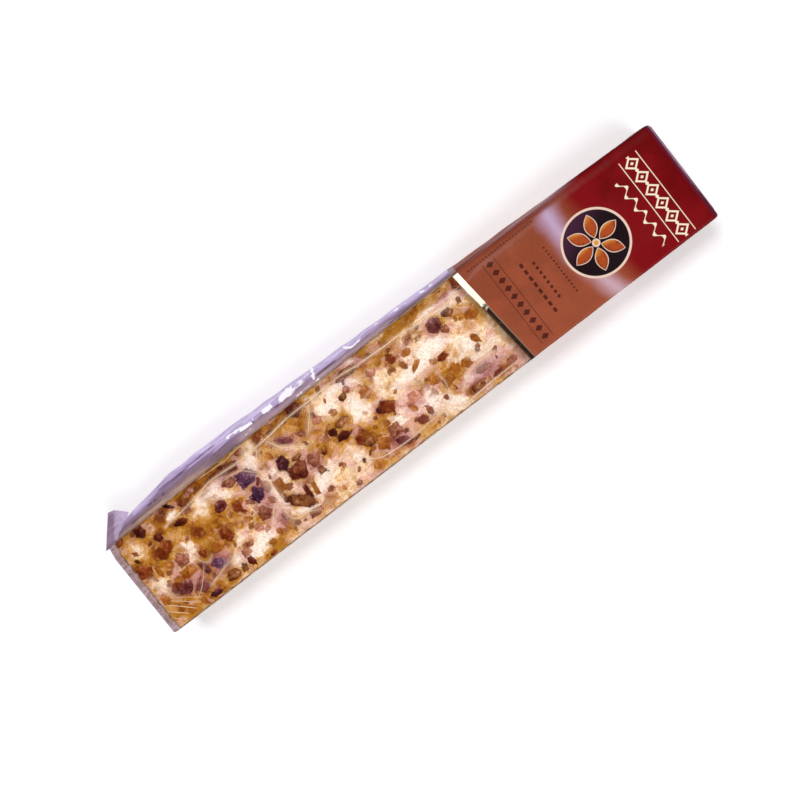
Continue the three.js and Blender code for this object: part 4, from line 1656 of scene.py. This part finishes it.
@dataclass(frozen=True)
class Crease:
    """A fold in the clear film over the top face, with a painted highlight along it: its course in
    millimetres and how it shows.
    """

    course: tuple[tuple[float, float], ...]
    width: float
    veil: float = 0.0
    milk_and_highlight: float = 0.4
    height: float = 0.02

    def trace(self, steps: int = 8) -> Values:
        """Draw a smooth line through the points of the course.

        Args:
            steps: places for each stretch between two points.

        Returns:
            One row of x and y for each place, in millimetres.
        """
        knots = np.array([self.course[0], *self.course, self.course[-1]])
        places = []
        for a, b, c, d in zip(knots, knots[1:], knots[2:], knots[3:]):
            for t in np.arange(steps) / steps:
                bend = (2 * a - 5 * b + 4 * c - d) * t**2 + (3 * b - a - 3 * c + d) * t**3
                places.append(b + 0.5 * ((c - a) * t + bend))
        return np.array([*places, knots[-1]])

    def distance(self, x: Values, y: Values) -> Values:
        """Give the distance from the crease.

        Args:
            x: places along the bar, in millimetres.
            y: places across it, in millimetres.

        Returns:
            The distance of each place, in millimetres.
        """
        nearest = np.full_like(x, np.inf)
        for px, py in self.trace():
            nearest = np.minimum(nearest, (x - px) ** 2 + (y - py) ** 2)
        return np.sqrt(nearest)

    def model(self, name: str) -> Piece:
        """Model the raised line of the crease.

        Args:
            name: the ridge's name.

        Returns:
            The ridge, lying on the film.
        """
        line = self.trace()
        ridge = Bench.block(name, (0, -1, 0), (1, 1, 1))
        Bench.cut_along(ridge, 0, 0.5, len(line) - 2)
        points = Bench.points(ridge)
        index = np.rint(points[:, 0] * (len(line) - 1)).astype(int)
        run = np.gradient(line, axis=0)
        run /= np.maximum(np.linalg.norm(run, axis=1), 1e-9)[:, None]
        taper = np.sin(np.pi * np.clip(points[:, 0], 0.02, 0.98)) ** 0.35
        upper = points[:, 2] > 0.5
        across = points[:, 1] * taper * np.where(upper, 0.3, 1.0) * self.width / 2
        x = (line[index, 0] - run[index, 1] * across) * MM
        y = (line[index, 1] + run[index, 0] * across) * MM
        z = FORM.top_height(x, y) + np.where(upper, self.height * taper * MM, -0.01 * MM)
        Bench.move_points(ridge, np.column_stack((x, y, z)))
        return ridge


CREASES = (
    Crease(((-73, 9.6), (-68, 10.0), (-60, 11.0), (-55, 11.8), (-50, 11.5), (-45, 11.2),
            (-40, 11.3), (-35, 11.5), (-30, 12.1), (-25, 12.3), (-20, 12.2), (-15, 12.4),
            (-10, 12.4), (-5, 11.8), (0, 11.5), (5, 11.2), (10, 11.1), (13, 10.6)), 0.17, 0.5, 0.68),
    Crease(((12.5, 10.3), (16, 10.5), (20, 10.0), (23.5, 9.8), (27.5, 10.6)), 0.28, 0.8, 0.68),
    Crease(((-58, 14.2), (-53, 13.9), (-49, 13.6), (-46, 14.0), (-42.6, 13.9), (-42.9, 12.2)), 0.2,
            height=0.04),
    Crease(((-44.6, 10.6), (-43.0, 13.0), (-40.6, 13.2), (-39.7, 11.2), (-41.3, 8.6), (-42.8, 6.4),
            (-42.7, 2.0), (-42.4, -2.0), (-43.2, -4.6)), 0.21, 1.1, 0.46),
    Crease(((-53.5, 9.8), (-50, 9.6), (-46.8, 8.9), (-44.6, 6.9), (-43.0, 5.0)), 0.15, 0.5, 0.41),
    Crease(((-43.2, -4.6), (-44.0, -8.2), (-42.6, -10.4), (-39.4, -10.8), (-36.4, -12.0)), 0.21, 0.8,
            0.46),
    Crease(((-43.2, -4.6), (-45.6, -4.4), (-48.0, -6.6)), 0.17, 0.6, 0.41),
    Crease(((-36.0, 10.6), (-34.3, 7.4), (-31.6, 5.4), (-29.2, 3.8)), 0.28, 1.0, 0.54),
    Crease(((-21.2, 12.0), (-22.6, 9.4), (-24.6, 7.2), (-26.4, 5.4)), 0.21, 0.9, 0.41),
    Crease(((-33.0, -9.6), (-30.4, -8.6), (-28.0, -6.8), (-24.0, -5.0), (-20.2, -5.0),
            (-18.4, -6.8), (-17.0, -9.6), (-14.4, -11.2), (-10, -11.8), (-4, -12.0), (1, -11.6),
            (5.5, -11.6)), 0.17, 0.4, 0.62),
    Crease(((-20.8, -5.8), (-21.6, -8.4), (-23.6, -10.6)), 0.15, 0.5, 0.41),
    Crease(((-9.8, 3.2), (-6, 4.4), (-2.4, 3.0), (2, 0.2), (7, -1.2), (10, -0.2), (13, 1.2)), 0.22, 0.9,
            0.26, 0.06),
    Crease(((6.4, -8.6), (8.2, -11.4), (11.2, -13.4), (16, -13.3), (22, -13.0), (29.5, -12.9)), 0.3,
            0.6, 0.46, 0.08),
    Crease(((10.4, -2.0), (11.0, -5.4), (10.2, -8.6)), 0.15, 0.6, 0.35),
    Crease(((13.4, -10.2), (16.4, -8.2), (21, -7.0), (26, -7.0)), 0.18, 0.7, 0.46),
    Crease(((19.6, -4.2), (23, -5.2), (28, -5.6)), 0.25, 0.8, 0.54),
    Crease(((24.4, 9.2), (25.6, 7.0), (27.6, 5.8)), 0.17, 0.6, 0.35),
    Crease(((-87.6, -9.0), (-85.4, -10.8), (-83.0, -12.9)), 0.17, 0.0, 0.68),
    Crease(((-86.4, -7.6), (-83.4, -10.2), (-80.2, -13.2)), 0.17, 0.0, 0.68),
    Crease(((-85.2, -7.0), (-82.0, -9.4), (-79.4, -11.8)), 0.15, 0.0, 0.54),
    Crease(((-88.0, -10.8), (-86.2, -12.4), (-84.4, -13.9)), 0.14, 0.0, 0.54),
    Crease(((-84.0, -6.6), (-80.6, -9.0), (-77.8, -10.8)), 0.14, 0.0, 0.41),
    Crease(((-85.4, 0.6), (-84.9, -2.0), (-83.8, -5.4)), 0.35, 1.1, 0.46),
    Crease(((-79.6, -11.6), (-76.4, -10.0), (-73.6, -7.6), (-71.4, -5.2)), 0.14, 0.4, 0.35),
    Crease(((-73.0, -10.4), (-69.4, -9.6), (-66.0, -8.6), (-62.6, -8.8)), 0.17, 0.7, 0.41),
    Crease(((-72.2, 0.6), (-71.4, -3.0), (-69.8, -5.0), (-67.6, -4.2)), 0.14, 0.7, 0.32),
    Crease(((-63.2, 8.6), (-60.4, 6.8), (-57.4, 7.2), (-54.6, 6.2)), 0.14, 0.5, 0.27),
)


@dataclass(frozen=True)
class Streak:
    """A short mark in the slack film, used for painted highlights and for painted shade lines along folds:
    its ends and half width in millimetres.
    """

    start: tuple[float, float]
    end: tuple[float, float]
    width: float
    strength: float = 1.0

    def spread(self, x: Values, y: Values) -> Values:
        """Give how strongly the mark shows at each place.

        Args:
            x: places along the bar, in millimetres.
            y: places across it, in millimetres.

        Returns:
            From 0 away from the mark to its strength in its middle.
        """
        dx, dy = x - self.start[0], y - self.start[1]
        run_x, run_y = self.end[0] - self.start[0], self.end[1] - self.start[1]
        along = np.clip((dx * run_x + dy * run_y) / (run_x**2 + run_y**2), 0, 1)
        off = np.hypot(dx - along * run_x, dy - along * run_y)
        return self.strength * np.exp(-((off / self.width) ** 4))


GLINTS = tuple(Streak(*row) for row in (
    ((-45.0, 18.2), (-37.4, 17.2), 0.55, 0.85), ((-35.8, 17.6), (-30.4, 17.6), 0.75, 0.9),
    ((-26.8, 17.4), (-22.6, 17.7), 1.1, 0.8), ((-24.8, 17.2), (-24.2, 18.2), 0.8, 1.0),
    ((-21.6, 17.5), (-17.0, 17.5), 0.9, 0.45), ((-16.2, 16.2), (-15.4, 18.3), 0.5, 1.0),
    ((-22.6, 15.2), (-15.0, 15.2), 0.28, 0.7), ((-40.4, 15.6), (-38.1, 16.2), 0.26, 0.6),
    ((-5.0, 17.7), (-3.4, 16.5), 0.4, 0.8), ((-3.4, 16.5), (0.4, 16.5), 0.35, 0.8),
    ((5.2, 17.2), (6.2, 17.2), 0.35, 0.7), ((11.7, 16.9), (12.6, 16.9), 0.35, 0.6),
    ((14.8, 16.8), (15.6, 16.8), 0.3, 0.6), ((19.6, 16.5), (20.8, 16.4), 0.35, 0.7),
    ((22.6, 16.3), (23.4, 16.3), 0.3, 0.6), ((-70.0, 20.0), (-60.0, 20.2), 0.3, 0.3),
))
# Painted shade: dark lines along the slack film's folds and along the nougat's edge.
FIN_FOLD_SHADES = tuple(Streak(*row) for row in (
    ((-74.2, 17.1), (-73.0, 17.1), 0.3, 0.9), ((-72.4, 17.1), (-71.6, 17.1), 0.3, 0.8),
    ((-69.4, 17.0), (-68.4, 17.0), 0.3, 0.8), ((-64.8, 18.3), (-56.6, 18.8), 0.32, 0.7),
    ((-56.6, 18.8), (-49.4, 18.9), 0.3, 0.7), ((-81.0, 16.0), (-70.0, 16.1), 0.24, 0.7),
    ((-14.8, 16.3), (-8.8, 16.3), 0.3, 0.8), ((-29.4, 16.5), (-28.2, 16.5), 0.35, 0.7),
    ((-37.0, 17.1), (-36.4, 17.1), 0.35, 0.7), ((8.4, 14.95), (17.6, 14.9), 0.28, 0.8),
    ((20.0, 14.9), (28.0, 14.85), 0.25, 0.5),
))


@dataclass
class Wrap:
    """The film wrap: its clear stretch with fin, ear and folded end, gold band and printed end."""

    corner: float = 0.5 * MM
    chip_bump: float = 0.13 * MM
    chip_margin: float = 0.4
    band_proud: float = 0.04 * MM
    ripple: float = 0.05 * MM
    fold_near: float = 0.56
    fold_far: float = 0.34
    glint_low: float = 8.0
    slack_from: float = 3.4
    top_from: float = 14.0
    seam_half: float = 4.5
    ending: tuple[float, float] = (87.0, 88.9)
    ear_left: tuple[tuple[float, ...], ...] = ((-91.1, 14.4, 15.4), (-85.0, 22.4, 13.0))
    ear_middle: tuple[tuple[float, ...], ...] = ((-87.9, 14.3, 15.6), (-83.1, 22.0, 13.0))
    ear_right: tuple[tuple[float, ...], ...] = ((-83.8, 16.3, 11.9), (-80.5, 19.1, 12.0))
    ear_thickness: float = 0.25 * MM
    flap_base: float = 13.2 * MM
    flap_tip: float = 6.8 * MM
    flap_reach: float = 10.2 * MM
    flap_bevel: float = 0.08 * MM
    overlap: float = 0.5 * MM
    cuts: tuple[tuple[int, float, int], ...] = (  # axis, shortest edge, new rings
        (0, 10 * MM, 20), (0, 5 * MM, 19), (1, 10 * MM, 79), (2, 10 * MM, 41)
    )

    def model_form(self) -> Piece:
        """Model the whole shut wrap as one closed skin.

        Returns:
            The skin, to be copied and cut.
        """
        low = (-FORM.face_x, -FORM.half_width, 0)
        high = (FORM.face_x, FORM.half_width, FORM.height)
        skin = Bench.block("wrap_form", low, high)
        Bench.round_edges(skin, self.corner, 3)
        for axis, shortest, cuts in self.cuts:
            Bench.cut_along(skin, axis, shortest, cuts)
        Bench.move_points(skin, FORM.crowd_rows(Bench.points(skin)))
        flat = Bench.points(skin)
        points = FORM.settled(flat, with_fin=True)
        x, y, z = (flat / MM).T
        on_top = eased(flat[:, 2], FORM.height - 2 * FORM.edge_round, FORM.height)
        lift = np.zeros_like(x)
        for chip in TOP_CHIPS:
            u, v = from_middle(x, y, (chip.x, chip.y), chip.turn)
            u, v = u / (chip.long / 2 + self.chip_margin), v / (chip.wide / 2 + self.chip_margin)
            lift = np.maximum(lift, np.exp(-((u * u + v * v) ** 2)))
        points[:, 2] += self.chip_bump * lift * on_top
        outer = np.clip((points[:, 1] - FORM.half_width) / FORM.fin_reach, 0, 1)
        folds = np.sin(0.3 * x + 1.3 * y) + np.sin(0.7 * x - 0.6 * z + 1)
        folds = folds + np.sin(0.17 * x + 2.0 * z)
        points[:, 2] += 1.6 * self.ripple * folds * np.minimum(outer * 3, 1)
        points[:, 1] += 2.4 * self.ripple * np.sin(0.55 * x + 1.1 * np.sin(0.21 * x)) * outer
        wall = (np.abs(y) > 14) * (1 - outer) * np.clip(z / 4, 0, 1)
        points[:, 1] += np.sign(y) * self.ripple * folds * wall * (1 - on_top)
        Bench.move_points(skin, points)
        return skin

    def model_ear(self) -> Piece:
        """Model the pointed ear of film at the clear end, a darker facet beside a lighter one.

        Returns:
            The ear.
        """
        bpy.ops.object.select_all(action="DESELECT")
        bpy.ops.mesh.primitive_grid_add(x_subdivisions=30, y_subdivisions=24, size=2)
        ear = bpy.context.active_object
        ear.name = ear.data.name = "film_ear"
        u, v, _ = ((Bench.points(ear) + 1) / 2).T
        corners = np.array([self.ear_left, self.ear_middle, self.ear_right])
        dark, light = np.clip(u / 0.5, 0, 1)[:, None], np.clip(u / 0.5 - 1, 0, 1)[:, None]
        bottom, top = (
            left * (1 - dark) + middle * dark + (right - middle) * light
            for left, middle, right in corners.swapaxes(0, 1)
        )
        points = bottom * (1 - v)[:, None] + top * v[:, None]
        hollow = np.sin(np.pi * v) * np.clip(u * 2 - 1, 0, 1)
        points[:, 0] -= 0.4 * hollow
        points[:, 2] += 0.12 * np.sin(9 * u + 5 * v) * v
        Bench.move_points(ear, points * MM)
        # Painted shade and light: the left facet takes the fin's darker inner colours, the right facet its
        # lighter outer ones.
        Bench.mark(ear, "out", 0.44 + 0.12 * v + 0.42 * eased(u, 0.45, 0.62))
        Bench.mark(ear, "slack", np.full_like(u, 0.97))
        Bench.take(ear)
        wall = ear.modifiers.new("film", "SOLIDIFY")
        wall.thickness, wall.offset = self.ear_thickness, 0
        bpy.ops.object.modifier_apply(modifier=wall.name)
        return ear

    def model_flaps(self, side: int) -> list[Piece]:
        """Model the two flaps that are folded over an end.

        Args:
            side: -1 for the clear end, 1 for the printed end.

        Returns:
            The flap folded down and the flap folded up over it.
        """
        flaps = []
        base, reach = self.flap_base, self.flap_reach
        for up, stands in ((-1, FORM.flap), (1, 2 * FORM.flap)):
            start = 0.5 * MM if up > 0 else FORM.height - 2.0 * MM
            inner, outer = side * (FORM.face_x - 0.3 * MM), side * (FORM.face_x + stands)
            low = (min(inner, outer), -base, min(start, start + up * reach))
            high = (max(inner, outer), base, max(start, start + up * reach))
            flap = Bench.block(f"flap_{side}_{up}", low, high)
            end = start + up * reach

            def at_tip(edge: bmesh.types.BMEdge, end: float = end) -> bool:
                """Tell whether an edge lies in the flap's free end."""
                return all(abs(v.co.z - end) < 1e-6 for v in edge.verts)

            with Bench.editing(flap):
                Bench.pick(flap, Part.EDGES, at_tip)
                bpy.ops.transform.resize(value=(1, self.flap_tip / base, 1))
            Bench.cut_along(flap, 1, 10 * MM, 23)
            Bench.round_edges(flap, self.flap_bevel, 1)
            flaps.append(flap)
        return flaps

    def cut_plane(self, offset: float) -> tuple[Vector, Vector]:
        """Give a point and the normal of the slanted plane at a distance past the band's middle."""
        normal = Vector((math.cos(FORM.band_slant), math.sin(FORM.band_slant), 0))
        return Vector((FORM.band_x, 0, 0)) + normal * offset, normal

    def mark_film(self, film: Piece) -> None:
        """Store where the clear film is slack or milky, where its glints and creases carry painted
        highlights and where its folds carry painted shade.

        Args:
            film: the clear film, before its ear, flaps and creases join it.
        """
        points = Bench.points(film)
        x, y, z = (points / MM).T
        reach = FORM.fin_reach_at(points[:, 0]) / MM
        half = FORM.half_width / MM
        out = np.clip((y - half) / np.maximum(reach, 0.3), 0, 1.2)
        fold_at = self.fold_near + (self.fold_far - self.fold_near) * eased(x, -58, -46)
        out = np.interp(out - fold_at, (-0.6, 0, 0.66), (0, 0.5, 1)) * (out > 0)
        slack = eased(y, half - 0.35, half + 0.25) * (z > self.slack_from)
        ending = eased(-x, *self.ending)
        seam = (np.abs(y) < self.seam_half) & (z < 0.2)
        glint = strongest(GLINTS, x, y) * slack * eased(z, self.glint_low, self.glint_low + 1)
        on_top = z > self.top_from
        milk_and_highlight = 0.14 * seam
        # The crease veils carry a painted highlight; the seam under the bar is whitish doubled film.
        for crease in CREASES:
            if crease.veil:
                near = np.exp(-((crease.distance(x, y) / crease.veil) ** 2))
                milk_and_highlight = np.maximum(milk_and_highlight, 0.6 * crease.milk_and_highlight * near * on_top)
        Bench.mark(film, "slack", slack * 0.97)
        Bench.mark(film, "out", out)
        Bench.mark(film, "ending", ending * (1 - slack) * 0.95)
        Bench.mark(film, "glint", glint)
        # Painted shade along the folds.
        Bench.mark(film, "folded", strongest(FIN_FOLD_SHADES, x, y) * slack)
        Bench.mark(film, "milk_and_highlight", milk_and_highlight)
        Bench.mark(film, "haze", strongest(HAZE_ZONES, x, y) * on_top * (1 - slack))

    def build(self) -> list[Piece]:
        """Model, cut and dress the wrap.

        Returns:
            The clear film, the gold band and the printed film.
        """
        skin = self.model_form()
        joint = FORM.band_width / 2
        clear = Bench.copy(skin, "clear_film")
        Bench.keep_side(clear, *self.cut_plane(-joint + self.overlap))
        printed = Bench.copy(skin, "printed_film")
        point, normal = self.cut_plane(joint - self.overlap)
        Bench.keep_side(printed, point, -normal)
        band = Bench.copy(skin, "gold_line")
        Bench.keep_side(band, *self.cut_plane(joint))
        point, normal = self.cut_plane(-joint)
        Bench.keep_side(band, point, -normal)
        with Bench.editing(band):
            Bench.pick(band, Part.FACES, lambda face: abs(face.normal.x) < 0.9)
            bpy.ops.transform.shrink_fatten(value=self.band_proud)
        bpy.data.objects.remove(skin)

        self.mark_film(clear)
        flaps = self.model_flaps(-1)
        for flap in flaps:
            Bench.mark(flap, "ending", np.full(len(flap.data.vertices), 0.95))
        ridges = []
        for number, crease in enumerate(CREASES):
            ridge = crease.model(f"crease_{number}")
            # The crease ridges carry a painted highlight.
            Bench.mark(ridge, "milk_and_highlight", np.full(len(ridge.data.vertices), crease.milk_and_highlight * 1.5))
            ridges.append(ridge)
        clear = Bench.join([clear, self.model_ear(), *flaps, *ridges], "clear_film")
        printed = Bench.join([printed, *self.model_flaps(1)], "printed_film")
        dressed = (
            (clear, ClearFilmFinish().material(), "clear_film", "clear_wrap"),
            (band, GoldFinish().material(), "gold_foil", "gold_band"),
            (printed, PrintFinish().material(), "printed_film", "printed_wrap"),
        )
        for piece, material, slot, node in dressed:
            Bench.smooth(piece, 50)
            piece.data.materials.clear()
            piece.data.materials.append(material)
            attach(piece, "root")
            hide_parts(node)
        return [clear, band, printed]


# ---- Studio ----


@dataclass(frozen=True)
class Studio:
    """The camera at the photograph's angle, a plain pale floor and soft light."""

    camera_at: tuple[float, float, float] = (34.9 * MM, 6.8 * MM, 274.6 * MM)
    aim_at: tuple[float, float, float] = (-1.3 * MM, -2.3 * MM, 16.6 * MM)
    up_hint: tuple[float, float, float] = (0.6083, 0.7856, -0.1133)
    lens: float = 45.0
    sensor: float = 36.0
    floor_size: float = 3.0
    floor_colour: Colour = srgb(253, 252, 253)
    floor_speckle: Colour = srgb(250, 250, 251)
    floor_lift: float = 0.16
    room: tuple[float, float, float, float] = (1.0, 0.985, 0.985, 1)
    room_strength: float = 0.27
    lamps: tuple[tuple[str, tuple[float, float, float], float, float], ...] = (
        ("key", (-0.05, 0.36, 0.85), 0.36, 4.8), ("fill", (0.12, -0.5, 0.75), 0.6, 3.9)
    )

    def camera(self) -> None:
        """Set up the camera."""
        data = bpy.data.cameras.new("camera")
        data.lens, data.sensor_width, data.sensor_fit = self.lens, self.sensor, "HORIZONTAL"
        data.clip_start, data.clip_end = 0.01, 10
        camera = bpy.data.objects.new("camera", data)
        bpy.context.collection.objects.link(camera)
        forward = (Vector(self.aim_at) - Vector(self.camera_at)).normalized()
        right = forward.cross(Vector(self.up_hint)).normalized()
        up = right.cross(forward)
        turned = Matrix((right, up, -forward)).transposed()
        camera.matrix_world = Matrix.Translation(self.camera_at) @ turned.to_4x4()
        bpy.context.scene.camera = camera

    def lamp(self, name: str, place: Sequence[float], size: float, power: float) -> None:
        """Add a soft square light that faces the bar.

        Args:
            name: the light's name.
            place: where it hangs, in metres.
            size: its width in metres.
            power: its power in watts.
        """
        data = bpy.data.lights.new(name, "AREA")
        data.size, data.energy = size, power
        lamp = bpy.data.objects.new(name, data)
        bpy.context.collection.objects.link(lamp)
        lamp.location = place
        lamp.rotation_mode = "QUATERNION"
        lamp.rotation_quaternion = (-Vector(place)).to_track_quat("-Z", "Y")

    def floor(self) -> None:
        """Lay a plain pale floor under the bar."""
        bpy.ops.object.select_all(action="DESELECT")
        bpy.ops.mesh.primitive_plane_add(size=self.floor_size)
        floor = bpy.context.active_object
        floor.name = "floor"
        board = Board("floor")
        speckle = board.noise(1.2, detail=2)
        colour = board.mix(self.floor_colour, self.floor_speckle, speckle.ramp(0.4, 0.6))
        lift = {"Emission Color": self.floor_colour, "Emission Strength": self.floor_lift}
        floor.data.materials.append(board.finished(board.principled(colour, 0.8, lift)))

    def light(self) -> None:
        """Light the room softly, mostly from the side of the slack film."""
        world = bpy.data.worlds.new("room")
        world.use_nodes = True
        backdrop = world.node_tree.nodes["Background"]
        backdrop.inputs["Color"].default_value = self.room
        backdrop.inputs["Strength"].default_value = self.room_strength
        bpy.context.scene.world = world
        for lamp in self.lamps:
            self.lamp(*lamp)

    def build(self) -> None:
        """Set up camera, floor, light and picture colours."""
        self.camera()
        self.floor()
        self.light()
        bpy.context.scene.view_settings.view_transform = "Standard"


def main() -> None:
    """Build every sub-assembly in order and report its pieces."""
    logging.basicConfig(level=logging.INFO, format="%(name)s: %(message)s")
    Studio().build()
    pieces = [Nougat().build(), *Wrap().build(), *Chips().build()]
    for piece in pieces:
        LOG.info("%s: %d faces", piece.name, len(piece.data.polygons))


if __name__ == "__main__":
    main()
